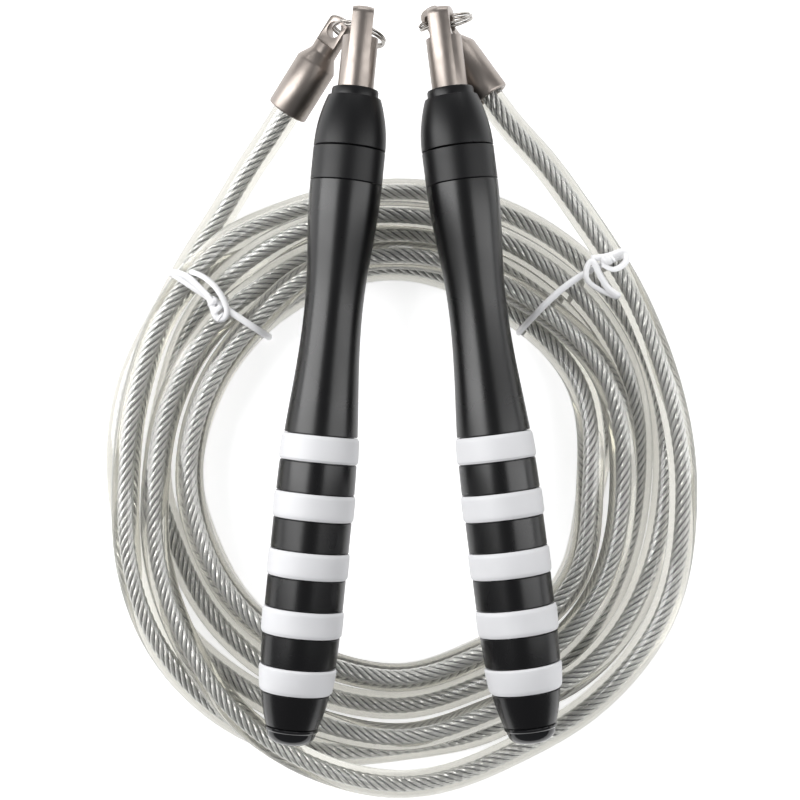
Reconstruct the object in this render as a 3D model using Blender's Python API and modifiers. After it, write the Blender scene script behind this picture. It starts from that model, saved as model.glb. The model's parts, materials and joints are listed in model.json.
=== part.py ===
"""Jump rope: a coiled, clear-sheathed wire rope with two ball-bearing handles lying on the coil.

Metres, +Z up. The coil lies flat on Z = 0 and the handles point along +Y, spindles first.
The origin is on the coil's flat underside, in the middle of the bundle nearest the handle butts.
"""
import math

import bmesh
import bpy
from mathutils import Matrix, Vector

# Clearances
FIT_GAP = 0.0003            # between faces that touch on the real object
PRESS_GAP = 0.00015         # between a bearing race and its seat
WEB_GAP = 0.0001            # between a bearing and the housing's web
ROUND_STEPS = 16            # facets round a turned piece
SMALL_STEPS = 16            # facets round a drilled hole

# Rope
ROPE_DIAMETER = 0.009
COIL_INNER_RADIUS = 0.0585
COIL_OUTER_RADIUS = 0.0965
COIL_LAYERS = 2
COIL_CENTRE = Vector((0.0, 0.076, 0.0))
COIL_STEPS = 36
COIL_CORNER_STEPS = 2
TAIL_POINTS = 12

# Handle, measured from the lip of its nose towards the butt
HANDLE_LENGTH = 0.2025
LIP_RADIUS = 0.0072
LIP_LENGTH = 0.0028
COLLAR_TOP_RADIUS = 0.0082
COLLAR_LENGTH = 0.0186
NECK_RADIUS = 0.0111
HOUSING_SLEEVE_LENGTH = 0.0103
HOUSING_SPIGOT_LENGTH = 0.0075
HOUSING_SPIGOT_WALL = 0.00145
HOUSING_BARREL_WALL = 0.00075
HOUSING_WEB_STEP = 0.00125          # web inside the bearing seats
WAIST_STATION = 0.068
WAIST_RADIUS = 0.0090
BELLY_STATION = 0.125
BELLY_RADIUS = 0.01212
TAIL_TAPER_LENGTH = 0.047
TAIL_RADIUS = 0.0082
TAIL_SHARES = (0.45, 0.8, 1.0)      # stations drawn between the last band and the plug
FRONT_STATIONS = 6                  # stations drawn between the housing and the first band
COLLAR_DOME_STEPS = 6
BODY_BORE_RADIUS = 0.0065
PLUG_CAP_LENGTH = 0.0053
PLUG_RIM_LENGTH = 0.001
PLUG_FLAT_RADIUS = 0.0037
PLUG_DOME_STEPS = 4
PLUG_STEM_LENGTH = 0.012
PLUG_STEM_WALL = 0.0016

# Grip bands
BAND_COUNT = 5
BAND_WIDTH = 0.0080
BAND_PITCH = 0.0178
BAND_DEPTH = 0.0011         # groove depth below the body's surface
BAND_PROUD = 0.0005
BAND_REAR_SETBACK = 0.0201  # centre of the last band in front of the butt

# Spindle, its tang and what holds it
SPINDLE_RADIUS = 0.0055
SPINDLE_EXPOSED = 0.0250
SPINDLE_TIP_HEIGHT = 0.0024
SPINDLE_TIP_FLAT_RADIUS = 0.0032
JOURNAL_RADIUS = 0.0040
JOURNAL_TAIL = 0.0012       # journal past the lock nut
TANG_LENGTH = 0.0092
TANG_THICKNESS = 0.0066
TANG_HOLE_RADIUS = 0.0028
TANG_HOLE_SETBACK = 0.0058  # hole centre below the spindle's tip
NOSE_CLEARANCE = 0.00035
SPACER_LENGTH = 0.0080
SPACER_RADIUS = 0.0052
WASHER_SHARE = 0.8125       # washer radius, as a share of the bearing's
WASHER_THICKNESS = 0.0010
NUT_SHARE = 1.5             # across flats, as a share of the bearing's radius
NUT_HEIGHT = 0.0045

# Ball bearing
BEARING_RADIUS = 0.0080
BEARING_WIDTH = 0.0050
BEARING_SETBACK = 0.0084    # front bearing's face behind the lip
BALL_COUNT = 7
BALL_SHARE = 0.25           # ball radius, as a share of the section from journal to outside
PITCH_SHARE = 0.525         # pitch circle above the journal
LAND_SHARE = 0.1625         # from the pitch circle to each race's land
CAGE_SHARE = 0.0875         # half the cage's thickness
CAGE_WIDTH = 0.0026
GROOVE_SHARE = 0.325        # half the groove's width
CLEARANCE_SHARE = 0.0875    # from a ball to the bottom of its groove

# Split ring
RING_WIRE_RADIUS = 0.00045
RING_MEAN_RADIUS = 0.00825
RING_TURN_GAP = 0.00015
RING_STEP_ANGLE = 150.0     # where the wire steps from one turn to the other
RING_END_ANGLE = 25.0       # where each wire end stops, either side of the step
RING_POINT_ANGLE = 18.0
RING_RISE = 0.00045         # the wire passes this far above the tang hole's axis

# Ferrule
FERRULE_WALL = 0.0018
FERRULE_BARREL_LENGTH = 0.0178
FERRULE_BORE_DEPTH = 0.012
FERRULE_SHOULDER_LENGTH = 0.0036
FERRULE_NECK_RADIUS = 0.0042
FERRULE_TIP_RADIUS = 0.0023
FERRULE_TIP_CROWN = 0.0003
FERRULE_TIP_EASE = 0.0021
FERRULE_LENGTH = 0.0346
FERRULE_FLAT_THICKNESS = 0.0038
FERRULE_FLAT_LENGTH = 0.0098
EYE_RADIUS = 0.0026
EYE_SETBACK = 0.0046        # eye centre below the ferrule's tip

# Twist ties
TIE_RADIUS = 0.00095
TIE_CHANNEL_WIDTH = 0.0030
TIE_STUB_LENGTH = 0.0075
TIE_BEND_RADIUS = 0.0035    # where its ends turn outwards
TIE_FOOT_RADIUS = 0.0015    # where it turns into the channel
TIE_POINT_ANGLE = 30.0

SIDES = {
    "left": {
        "nose": (-0.0137, 0.1996),      # lip centre, seen from above
        "yaw": 5.7,                     # lean of the spindle's tip towards +X, degrees
        "lift_yaw": 1.7,                # heading that the handle keeps as it swivels up
        "tang_roll": -3.0,
        "ring_yaw": -9.0,
        "ring_lean": 0.0,               # how far the ring's underside stands towards +Y
        "ring_turn": -6.0,              # where the tang sits on the ring, from its top
        "eye_angle": 208.0,             # where the eye sits on the ring
        "ferrule_yaw": -34.0,
        "ferrule_pitch": 14.0,
        "tail_route": (
            (-0.0478, 0.1792, 0.0080),
            (-0.0557, 0.1664, 0.0063),
            (-0.0608, 0.1580, 0.0056),
        ),
        "tie_angle": 137.0,
    },
    "right": {
        "nose": (0.0154, 0.1996),
        "yaw": -7.2,
        "lift_yaw": -3.2,
        "tang_roll": 15.0,
        "ring_yaw": 14.0,
        "ring_lean": 20.0,
        "ring_turn": 14.0,
        "eye_angle": 250.0,
        "ferrule_yaw": 35.5,
        "ferrule_pitch": -3.0,
        "tail_route": (
            (0.0459, 0.1784, 0.0170),
            (0.0555, 0.1657, 0.0152),
            (0.0608, 0.1582, 0.0143),
        ),
        "tie_angle": 46.0,
    },
}

# Sizes that follow from the ones above
COIL_HEIGHT = COIL_LAYERS * ROPE_DIAMETER
BAND_RADIUS = BELLY_RADIUS + BAND_PROUD
AXIS_HEIGHT = COIL_HEIGHT + BAND_RADIUS + FIT_GAP
BEARING_SEAT_RADIUS = BEARING_RADIUS + PRESS_GAP
BARREL_RADIUS = BEARING_SEAT_RADIUS + HOUSING_BARREL_WALL
HOUSING_WEB_RADIUS = BEARING_SEAT_RADIUS - HOUSING_WEB_STEP
WASHER_RADIUS = BEARING_RADIUS * WASHER_SHARE
NUT_ACROSS_FLATS = BEARING_RADIUS * NUT_SHARE
SPIGOT_RADIUS = BEARING_SEAT_RADIUS + HOUSING_SPIGOT_WALL
SLEEVE_START = COLLAR_LENGTH + FIT_GAP
SLEEVE_END = SLEEVE_START + HOUSING_SLEEVE_LENGTH
BODY_START = SLEEVE_END + FIT_GAP
BODY_END = HANDLE_LENGTH - PLUG_CAP_LENGTH - FIT_GAP
HOUSING_END = SLEEVE_END + HOUSING_SPIGOT_LENGTH
SPACER_START = BEARING_SETBACK + BEARING_WIDTH + FIT_GAP
REAR_BEARING_SETBACK = SPACER_START + SPACER_LENGTH + FIT_GAP
WASHER_START = REAR_BEARING_SETBACK + BEARING_WIDTH + FIT_GAP
NUT_START = WASHER_START + WASHER_THICKNESS + FIT_GAP
SPINDLE_END = NUT_START + NUT_HEIGHT + JOURNAL_TAIL
TANG_HOLE_HEIGHT = SPINDLE_EXPOSED - TANG_HOLE_SETBACK
BEARING_SECTION = BEARING_RADIUS - JOURNAL_RADIUS
BALL_RADIUS = BEARING_SECTION * BALL_SHARE
PITCH_RADIUS = JOURNAL_RADIUS + BEARING_SECTION * PITCH_SHARE
CAGE_HALF_THICKNESS = BEARING_SECTION * CAGE_SHARE
GROOVE_HALF_WIDTH = BEARING_SECTION * GROOVE_SHARE
BALL_CLEARANCE = BEARING_SECTION * CLEARANCE_SHARE
INNER_LAND = PITCH_RADIUS - BEARING_SECTION * LAND_SHARE
OUTER_LAND = PITCH_RADIUS + BEARING_SECTION * LAND_SHARE
FERRULE_BORE_RADIUS = ROPE_DIAMETER / 2 + FIT_GAP
FERRULE_RADIUS = FERRULE_BORE_RADIUS + FERRULE_WALL

PARTS = "jump_rope"
CUTTERS = "jump_rope_cutters"


# Scene helpers

def clear_scene():
    for obj in list(bpy.data.objects):
        bpy.data.objects.remove(obj, do_unlink=True)


def collection(name):
    """Return the named collection, made and linked on first use."""
    found = bpy.data.collections.get(name)
    if found is None:
        found = bpy.data.collections.new(name)
        bpy.context.scene.collection.children.link(found)
    return found


def material(name, colour, roughness, metallic=0.0):
    """Return a Principled material; colour is linear RGB."""
    found = bpy.data.materials.new(name)
    found.use_nodes = True
    found.diffuse_color = (*colour, 1.0)
    shader = found.node_tree.nodes["Principled BSDF"]
    shader.inputs["Base Color"].default_value = (*colour, 1.0)
    shader.inputs["Roughness"].default_value = roughness
    shader.inputs["Metallic"].default_value = metallic
    return found


def new_object(name, mesh, where=PARTS):
    obj = bpy.data.objects.new(name, mesh)
    collection(where).objects.link(obj)
    return obj


def pivot(name, matrix, parent=None):
    """Add an empty whose origin lies on a joint's axis."""
    empty = new_object(name, None)
    attach(empty, parent, matrix)
    return empty


def attach(obj, parent, matrix):
    """Place obj at a world matrix, parented without moving."""
    obj.parent = parent
    if parent is not None:
        obj.matrix_parent_inverse = parent.matrix_world.inverted()
    obj.matrix_basis = matrix
    bpy.context.view_layer.update()


def dress(obj, finish):
    obj.data.materials.clear()
    obj.data.materials.append(finish)


def bake(obj):
    """Turn an object's modifiers, or a curve, into one plain welded mesh, with its place in the mesh."""
    bpy.context.view_layer.update()
    graph = bpy.context.evaluated_depsgraph_get()
    mesh = bpy.data.meshes.new_from_object(obj.evaluated_get(graph))
    shape = bmesh.new()
    shape.from_mesh(mesh)
    bmesh.ops.remove_doubles(shape, verts=shape.verts, dist=1e-6)
    shape.to_mesh(mesh)
    shape.free()
    mesh.shade_smooth()
    mesh.set_sharp_from_angle(angle=math.radians(35.0))
    mesh.transform(obj.matrix_world)
    baked = new_object(obj.name + "_mesh", mesh)
    name = obj.name
    bpy.data.objects.remove(obj, do_unlink=True)
    baked.name = name
    return baked


def cutter(obj):
    """Make obj a hidden cutter."""
    for owner in list(obj.users_collection):
        owner.objects.unlink(obj)
    collection(CUTTERS).objects.link(obj)
    obj.hide_render = True
    obj.display_type = "WIRE"
    return obj


def combine(obj, other, operation):
    """Cut obj by other, or join them, with an exact Boolean."""
    step = obj.modifiers.new(operation.lower(), "BOOLEAN")
    step.operation = operation
    step.solver = "EXACT"
    step.object = cutter(other)


# Shape helpers

def turned(name, profile, steps=ROUND_STEPS, closed=True):
    """Spin a profile of (radius, height) points about local Z; it runs down the outer side first."""
    mesh = bpy.data.meshes.new(name)
    points = [(radius, 0.0, height) for radius, height in profile]
    edges = [(i, i + 1) for i in range(len(points) - 1)]
    if closed:
        edges.append((len(points) - 1, 0))
    mesh.from_pydata(points, edges, [])
    obj = new_object(name, mesh)
    screw = obj.modifiers.new("turn", "SCREW")
    screw.axis = "Z"
    screw.steps = steps
    screw.render_steps = steps
    screw.use_merge_vertices = True
    screw.merge_threshold = 1e-6
    return bake(obj)


def washer_profile(inner, outer, front, back):
    """Profile of a plain ring between two distances behind the lip."""
    return [(outer, -front), (outer, -back), (inner, -back), (inner, -front)]


def drilled_cutter(name, radius, length):
    """Return a round bar along X through the origin, for drilling."""
    mesh = bpy.data.meshes.new(name)
    shape = bmesh.new()
    bmesh.ops.create_cone(shape, cap_ends=True, segments=SMALL_STEPS, radius1=radius, radius2=radius,
                          depth=length)
    bmesh.ops.rotate(shape, verts=shape.verts, matrix=Matrix.Rotation(math.radians(90.0), 3, "Y"))
    shape.to_mesh(mesh)
    shape.free()
    return new_object(name, mesh)


def box_cutter(name, size, centre):
    """Return a box of a full size (x, y, z) about a centre."""
    mesh = bpy.data.meshes.new(name)
    shape = bmesh.new()
    bmesh.ops.create_cube(shape, size=1.0)
    bmesh.ops.scale(shape, verts=shape.verts, vec=size)
    bmesh.ops.translate(shape, verts=shape.verts, vec=centre)
    shape.to_mesh(mesh)
    shape.free()
    return new_object(name, mesh)


def wire(name, points, radius, resolution=2):
    """Return a capped round tube along points."""
    data = bpy.data.curves.new(name, "CURVE")
    data.dimensions = "3D"
    data.bevel_depth = radius
    data.bevel_resolution = resolution
    data.use_fill_caps = True
    data.render_resolution_u = 0
    spline = data.splines.new("POLY")
    spline.points.add(len(points) - 1)
    for node, point in zip(spline.points, points):
        node.co = (*point, 1.0)
    curve = new_object(name, data)
    return bake(curve)


def smooth_path(knots, count):
    """Return count points, evenly numbered along a Catmull-Rom curve through the knots."""
    knots = [Vector(knot) for knot in knots]
    padded = [2 * knots[0] - knots[1], *knots, 2 * knots[-1] - knots[-2]]
    spans = len(knots) - 1
    points = []
    for i in range(count):
        place = i * spans / (count - 1)
        span = min(int(place), spans - 1)
        t = place - span
        a, b, c, d = padded[span:span + 4]
        points.append(0.5 * (2 * b + (c - a) * t + (2 * a - 5 * b + 4 * c - d) * t ** 2
                             + (3 * b - a - 3 * c + d) * t ** 3))
    return points


def quarter(radius_from, radius_to, height_from, height_to, count):
    """Return a quarter ellipse from (radius_from, height_from) that ends level at radius_to."""
    points = []
    for i in range(count + 1):
        turn = math.radians(90.0) * i / count
        points.append((radius_to + (radius_from - radius_to) * math.cos(turn),
                       height_from + (height_to - height_from) * math.sin(turn)))
    return points


# Frames of reference

def heading(yaw):
    """Return the level direction that leans from +Y towards +X by yaw degrees."""
    turn = math.radians(yaw)
    return Vector((math.sin(turn), math.cos(turn), 0.0))


def frame_matrix(origin, x_axis, z_axis):
    """Return a matrix at origin with the given Z axis and with X as near x_axis as it can be."""
    z_axis = z_axis.normalized()
    x_axis = (x_axis - z_axis * x_axis.dot(z_axis)).normalized()
    turn = Matrix((x_axis, z_axis.cross(x_axis), z_axis)).transposed()
    return Matrix.Translation(origin) @ turn.to_4x4()


def handle_frame(side):
    """Frame with its origin at the lip's centre and +Z out along the spindle."""
    axis = heading(side["yaw"])
    nose = Vector((*side["nose"], AXIS_HEIGHT))
    return frame_matrix(nose, axis.cross(Vector((0.0, 0.0, 1.0))), axis)


def tang_hole(side):
    return handle_frame(side) @ Vector((0.0, 0.0, TANG_HOLE_HEIGHT))


def ring_frame(side):
    """Frame at the split ring's centre: X level along the ring, Y up in its plane, Z its axis."""
    level = heading(90.0 - side["ring_yaw"])
    lean = math.radians(side["ring_lean"])
    away = Vector((0.0, 0.0, 1.0)).cross(level)
    up = math.cos(lean) * Vector((0.0, 0.0, 1.0)) - math.sin(lean) * away
    turn = math.radians(90.0 + side["ring_turn"])
    reach = RING_MEAN_RADIUS * (math.cos(turn) * level + math.sin(turn) * up)
    centre = tang_hole(side) + Vector((0.0, 0.0, RING_RISE)) - reach
    return frame_matrix(centre, level, level.cross(up))


def eye_place(side):
    """Return the eye's centre and the ring wire's direction there."""
    frame = ring_frame(side)
    turn = math.radians(side["eye_angle"])
    centre = frame @ Vector((RING_MEAN_RADIUS * math.cos(turn), RING_MEAN_RADIUS * math.sin(turn), 0.0))
    along = frame.to_3x3() @ Vector((-math.sin(turn), math.cos(turn), 0.0))
    return centre, along


def ferrule_frame(side):
    """Frame at the eye's centre: Z from the mouth to the tip, X across the neck's flats."""
    centre, along = eye_place(side)
    pitch = math.radians(side["ferrule_pitch"])
    axis = math.cos(pitch) * heading(-side["ferrule_yaw"]) + Vector((0.0, 0.0, math.sin(pitch)))
    return frame_matrix(centre, along, axis)


def lift_frame(side):
    """Frame at the tang's hole whose X axis is the axis that the handle swivels up about."""
    level = heading(side["lift_yaw"])
    return frame_matrix(tang_hole(side), Vector((0.0, 0.0, 1.0)).cross(level), level)


def swing_frame(side):
    """Frame at the eye whose X axis is the axis that the ring swings about, handle upwards."""
    centre, along = eye_place(side)
    return frame_matrix(centre, -along, ferrule_frame(side).col[2].to_3d())


# Handle

def body_radius(station):
    """Return the grip's outer radius at a distance behind the lip."""
    if station < WAIST_STATION:
        share = (station - BODY_START) / (WAIST_STATION - BODY_START)
        front = WAIST_RADIUS + (NECK_RADIUS - WAIST_RADIUS) * (1 + math.cos(math.pi * share)) / 2
    else:
        share = min((station - WAIST_STATION) / (BELLY_STATION - WAIST_STATION), 1.0)
        front = WAIST_RADIUS + (BELLY_RADIUS - WAIST_RADIUS) * (1 - math.cos(math.pi * share)) / 2
    share = max(station - (BODY_END - TAIL_TAPER_LENGTH), 0.0) / TAIL_TAPER_LENGTH
    rear = BELLY_RADIUS - (BELLY_RADIUS - TAIL_RADIUS) * share ** 4
    return min(front, rear)


def band_stations():
    """Return the distance of each band's centre behind the lip, front band first."""
    last = HANDLE_LENGTH - BAND_REAR_SETBACK
    return [last - (BAND_COUNT - 1 - i) * BAND_PITCH for i in range(BAND_COUNT)]


def body_outline():
    """Return the grip's outer side, front to rear, with a groove for each band."""
    half = BAND_WIDTH / 2 + FIT_GAP
    grooves = [(station - half, station + half) for station in band_stations()]
    outline = [(body_radius(BODY_START), -BODY_START)]
    for i in range(1, FRONT_STATIONS):
        station = BODY_START + (grooves[0][0] - BODY_START) * i / FRONT_STATIONS
        outline.append((body_radius(station), -station))
    for front, back in grooves:
        outline.append((body_radius(front), -front))
        outline.append((body_radius(front) - BAND_DEPTH, -front))
        outline.append((body_radius(back) - BAND_DEPTH, -back))
        outline.append((body_radius(back), -back))
    last = grooves[-1][1]
    for share in TAIL_SHARES:
        station = last + (BODY_END - last) * share
        outline.append((body_radius(station), -station))
    return outline


def handle_body(name):
    seat = SPIGOT_RADIUS + FIT_GAP
    seat_end = HOUSING_END + FIT_GAP
    inside = [(BODY_BORE_RADIUS, -BODY_END), (BODY_BORE_RADIUS, -seat_end), (seat, -seat_end),
              (seat, -BODY_START)]
    return turned(name, body_outline() + inside)


def grip_band(name, station):
    """A ring in its groove, standing a little proud with eased edges."""
    front = station - BAND_WIDTH / 2
    back = station + BAND_WIDTH / 2
    front_radius = body_radius(front)
    back_radius = body_radius(back)
    floor = BAND_DEPTH - FIT_GAP
    profile = [
        (front_radius, -front),
        (front_radius + BAND_PROUD, -front - BAND_PROUD),
        (back_radius + BAND_PROUD, -back + BAND_PROUD),
        (back_radius, -back),
        (back_radius - floor, -back),
        (front_radius - floor, -front),
    ]
    return turned(name, profile)


def nose_collar(name):
    """Domed cap with a lip, open for the spindle, skirted over the bearing housing."""
    mouth = SPINDLE_RADIUS + NOSE_CLEARANCE
    skirt = BARREL_RADIUS + FIT_GAP
    skirt_front = BEARING_SETBACK - 2 * FIT_GAP
    dome = []
    for i in range(COLLAR_DOME_STEPS + 1):
        share = i / COLLAR_DOME_STEPS
        radius = NECK_RADIUS - (NECK_RADIUS - COLLAR_TOP_RADIUS) * (1 - share) ** 2
        dome.append((radius, -LIP_LENGTH - (COLLAR_LENGTH - LIP_LENGTH) * share))
    profile = [
        (LIP_RADIUS, 0.0),
        (LIP_RADIUS, -LIP_LENGTH),
        *dome,
        (skirt, -COLLAR_LENGTH),
        (skirt, -skirt_front),
        (mouth, -skirt_front),
        (mouth, 0.0),
    ]
    return turned(name, profile)


def bearing_housing(name):
    """Sleeve that shows behind the collar and seats both bearings against a web."""
    web_front = BEARING_SETBACK + BEARING_WIDTH + WEB_GAP
    web_back = REAR_BEARING_SETBACK - WEB_GAP
    barrel_front = BEARING_SETBACK - FIT_GAP
    profile = [
        (BARREL_RADIUS, -barrel_front),
        (BARREL_RADIUS, -SLEEVE_START),
        (NECK_RADIUS, -SLEEVE_START),
        (NECK_RADIUS, -SLEEVE_END),
        (SPIGOT_RADIUS, -SLEEVE_END),
        (SPIGOT_RADIUS, -HOUSING_END),
        (BEARING_SEAT_RADIUS, -HOUSING_END),
        (BEARING_SEAT_RADIUS, -web_back),
        (HOUSING_WEB_RADIUS, -web_back),
        (HOUSING_WEB_RADIUS, -web_front),
        (BEARING_SEAT_RADIUS, -web_front),
        (BEARING_SEAT_RADIUS, -barrel_front),
    ]
    return turned(name, profile)


def end_plug(name):
    """Domed cap on a hollow stem that fills the grip's rear bore."""
    cap_front = BODY_END + FIT_GAP
    stem = BODY_BORE_RADIUS - FIT_GAP
    stem_front = cap_front - PLUG_STEM_LENGTH
    dome = quarter(TAIL_RADIUS, PLUG_FLAT_RADIUS, -cap_front - PLUG_RIM_LENGTH, -HANDLE_LENGTH,
                   PLUG_DOME_STEPS)
    profile = [
        (0.0, -cap_front),
        (stem - PLUG_STEM_WALL, -cap_front),
        (stem - PLUG_STEM_WALL, -stem_front),
        (stem, -stem_front),
        (stem, -cap_front),
        (TAIL_RADIUS, -cap_front),
        *dome,
        (0.0, -HANDLE_LENGTH),
    ]
    return turned(name, profile, closed=False)


# Spindle and bearings

def spindle(name):
    """Stepped shaft, its tip milled to a tang with a cross hole."""
    shoulder = BEARING_SETBACK - FIT_GAP
    tip = quarter(SPINDLE_RADIUS, SPINDLE_TIP_FLAT_RADIUS, SPINDLE_EXPOSED - SPINDLE_TIP_HEIGHT,
                  SPINDLE_EXPOSED, 3)
    profile = [
        (0.0, SPINDLE_EXPOSED),
        *reversed(tip),
        (SPINDLE_RADIUS, -shoulder),
        (JOURNAL_RADIUS, -shoulder),
        (JOURNAL_RADIUS, -SPINDLE_END),
        (0.0, -SPINDLE_END),
    ]
    obj = turned(name, profile, closed=False)
    reach = 4 * SPINDLE_RADIUS
    height = SPINDLE_EXPOSED - TANG_LENGTH + reach / 2
    for sign in (-1, 1):
        offset = sign * (TANG_THICKNESS + reach) / 2
        combine(obj, box_cutter(name + "_flat_cutter", (reach, reach, reach), (offset, 0.0, height)),
                "DIFFERENCE")
    drill = drilled_cutter(name + "_hole_cutter", TANG_HOLE_RADIUS, reach)
    drill.location = (0.0, 0.0, TANG_HOLE_HEIGHT)
    combine(obj, drill, "DIFFERENCE")
    return bake(obj)


def outer_race(name, setback):
    half = BEARING_WIDTH / 2
    middle = -setback - half
    groove = PITCH_RADIUS + BALL_RADIUS + BALL_CLEARANCE
    profile = [
        (BEARING_RADIUS, middle + half),
        (BEARING_RADIUS, middle - half),
        (OUTER_LAND, middle - half),
        (OUTER_LAND, middle - GROOVE_HALF_WIDTH),
        (groove, middle),
        (OUTER_LAND, middle + GROOVE_HALF_WIDTH),
        (OUTER_LAND, middle + half),
    ]
    return turned(name, profile)


def inner_race(name, setback):
    half = BEARING_WIDTH / 2
    middle = -setback - half
    groove = PITCH_RADIUS - BALL_RADIUS - BALL_CLEARANCE
    bore = JOURNAL_RADIUS + PRESS_GAP
    profile = [
        (INNER_LAND, middle + half),
        (INNER_LAND, middle + GROOVE_HALF_WIDTH),
        (groove, middle),
        (INNER_LAND, middle - GROOVE_HALF_WIDTH),
        (INNER_LAND, middle - half),
        (bore, middle - half),
        (bore, middle + half),
    ]
    return turned(name, profile)


def ball_cage(name, setback):
    """Seven balls held in one cage ring."""
    middle = setback + BEARING_WIDTH / 2
    profile = washer_profile(PITCH_RADIUS - CAGE_HALF_THICKNESS, PITCH_RADIUS + CAGE_HALF_THICKNESS,
                             middle - CAGE_WIDTH / 2, middle + CAGE_WIDTH / 2)
    obj = turned(name, profile)
    mesh = bpy.data.meshes.new(name + "_balls")
    shape = bmesh.new()
    for i in range(BALL_COUNT):
        turn = 2 * math.pi * i / BALL_COUNT
        centre = (PITCH_RADIUS * math.cos(turn), PITCH_RADIUS * math.sin(turn), -middle)
        bmesh.ops.create_uvsphere(shape, u_segments=6, v_segments=5, radius=BALL_RADIUS,
                                  matrix=Matrix.Translation(centre))
    shape.to_mesh(mesh)
    shape.free()
    combine(obj, new_object(name + "_balls", mesh), "UNION")
    return bake(obj)


def lock_nut(name):
    """Hexagon nut, drawn as a flat outline with its bore and thickened."""
    data = bpy.data.curves.new(name, "CURVE")
    data.dimensions = "2D"
    data.fill_mode = "BOTH"
    data.extrude = NUT_HEIGHT / 2
    data.render_resolution_u = 0
    corner = NUT_ACROSS_FLATS / math.sqrt(3.0)
    for radius, steps in ((corner, 6), (JOURNAL_RADIUS + FIT_GAP, ROUND_STEPS)):
        spline = data.splines.new("POLY")
        spline.points.add(steps - 1)
        spline.use_cyclic_u = True
        for i, node in enumerate(spline.points):
            turn = 2 * math.pi * i / steps
            node.co = (radius * math.cos(turn), radius * math.sin(turn), 0.0, 1.0)
    curve = new_object(name, data)
    curve.location = (0.0, 0.0, -NUT_START - NUT_HEIGHT / 2)
    return bake(curve)


# Split ring, ferrule, rope and ties

def key_ring(name):
    """Two turns of wire side by side, stepping from one to the other between the wire's ends."""
    offset = RING_WIRE_RADIUS + RING_TURN_GAP / 2
    total = 720.0 - 2 * RING_END_ANGLE
    count = round(total / RING_POINT_ANGLE)
    points = []
    for i in range(count + 1):
        turn = RING_END_ANGLE + total * i / count
        step = min(max((turn - 360.0) / RING_END_ANGLE, -1.0), 1.0)
        side = math.sin(math.radians(90.0) * step) * offset
        angle = math.radians(turn + RING_STEP_ANGLE)
        points.append((RING_MEAN_RADIUS * math.cos(angle), RING_MEAN_RADIUS * math.sin(angle), side))
    return wire(name, points, RING_WIRE_RADIUS)


def ferrule(name):
    """Swaged fitting: bored barrel, conical shoulder, flat neck with an eye at the origin."""
    tip = EYE_SETBACK
    mouth = tip - FERRULE_LENGTH
    shoulder = mouth + FERRULE_BARREL_LENGTH
    neck = shoulder + FERRULE_SHOULDER_LENGTH
    bore = FERRULE_BORE_RADIUS
    floor = mouth + FERRULE_BORE_DEPTH
    profile = [
        (0.0, tip),
        (FERRULE_TIP_RADIUS, tip - FERRULE_TIP_CROWN),
        (FERRULE_NECK_RADIUS, tip - FERRULE_TIP_EASE),
        (FERRULE_NECK_RADIUS, neck),
        (FERRULE_RADIUS, shoulder),
        (FERRULE_RADIUS, mouth),
        (bore, mouth),
        (bore, floor),
        (0.0, floor),
    ]
    obj = turned(name, profile, closed=False)
    reach = 4 * FERRULE_NECK_RADIUS
    height = tip - FERRULE_FLAT_LENGTH + reach / 2
    for sign in (-1, 1):
        offset = sign * (FERRULE_FLAT_THICKNESS + reach) / 2
        combine(obj, box_cutter(name + "_flat_cutter", (reach, reach, reach), (offset, 0.0, height)),
                "DIFFERENCE")
    combine(obj, drilled_cutter(name + "_eye_cutter", EYE_RADIUS, reach), "DIFFERENCE")
    return bake(obj)


def rope_tail(name, side):
    """Free rope from the floor of the ferrule's bore to the side of the coil."""
    frame = ferrule_frame(side)
    mouth = EYE_SETBACK - FERRULE_LENGTH
    inside = frame @ Vector((0.0, 0.0, mouth + FERRULE_BORE_DEPTH - FIT_GAP))
    lip = frame @ Vector((0.0, 0.0, mouth))
    outside = frame @ Vector((0.0, 0.0, mouth - ROPE_DIAMETER))
    knots = [inside, lip, outside, *side["tail_route"]]
    return wire(name, smooth_path(knots, TAIL_POINTS), ROPE_DIAMETER / 2, resolution=3)


def rope_coil(name):
    """Every turn of the coiled rope as one ring, with a channel under it for each tie."""
    corner = ROPE_DIAMETER / 2
    profile = []
    for centre_radius, centre_height, start in (
            (COIL_OUTER_RADIUS - corner, COIL_HEIGHT - corner, 90.0),
            (COIL_OUTER_RADIUS - corner, corner, 0.0),
            (COIL_INNER_RADIUS + corner, corner, -90.0),
            (COIL_INNER_RADIUS + corner, COIL_HEIGHT - corner, -180.0)):
        for i in range(COIL_CORNER_STEPS + 1):
            turn = math.radians(start - 90.0 * i / COIL_CORNER_STEPS)
            profile.append((centre_radius + corner * math.cos(turn),
                            centre_height + corner * math.sin(turn)))
    obj = turned(name, profile, steps=COIL_STEPS)
    obj.location = COIL_CENTRE
    depth = 2 * (TIE_RADIUS + FIT_GAP)
    middle = (COIL_INNER_RADIUS + COIL_OUTER_RADIUS) / 2
    length = 2 * (COIL_OUTER_RADIUS - COIL_INNER_RADIUS)
    for side in SIDES.values():
        size = (length, TIE_CHANNEL_WIDTH, 2 * depth)
        channel = box_cutter(name + "_tie_cutter", size, (middle, 0.0, 0.0))
        outward = Matrix.Rotation(math.radians(side["tie_angle"]), 4, "Z")
        channel.matrix_world = Matrix.Translation(COIL_CENTRE) @ outward
        combine(obj, channel, "DIFFERENCE")
    return bake(obj)


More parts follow.
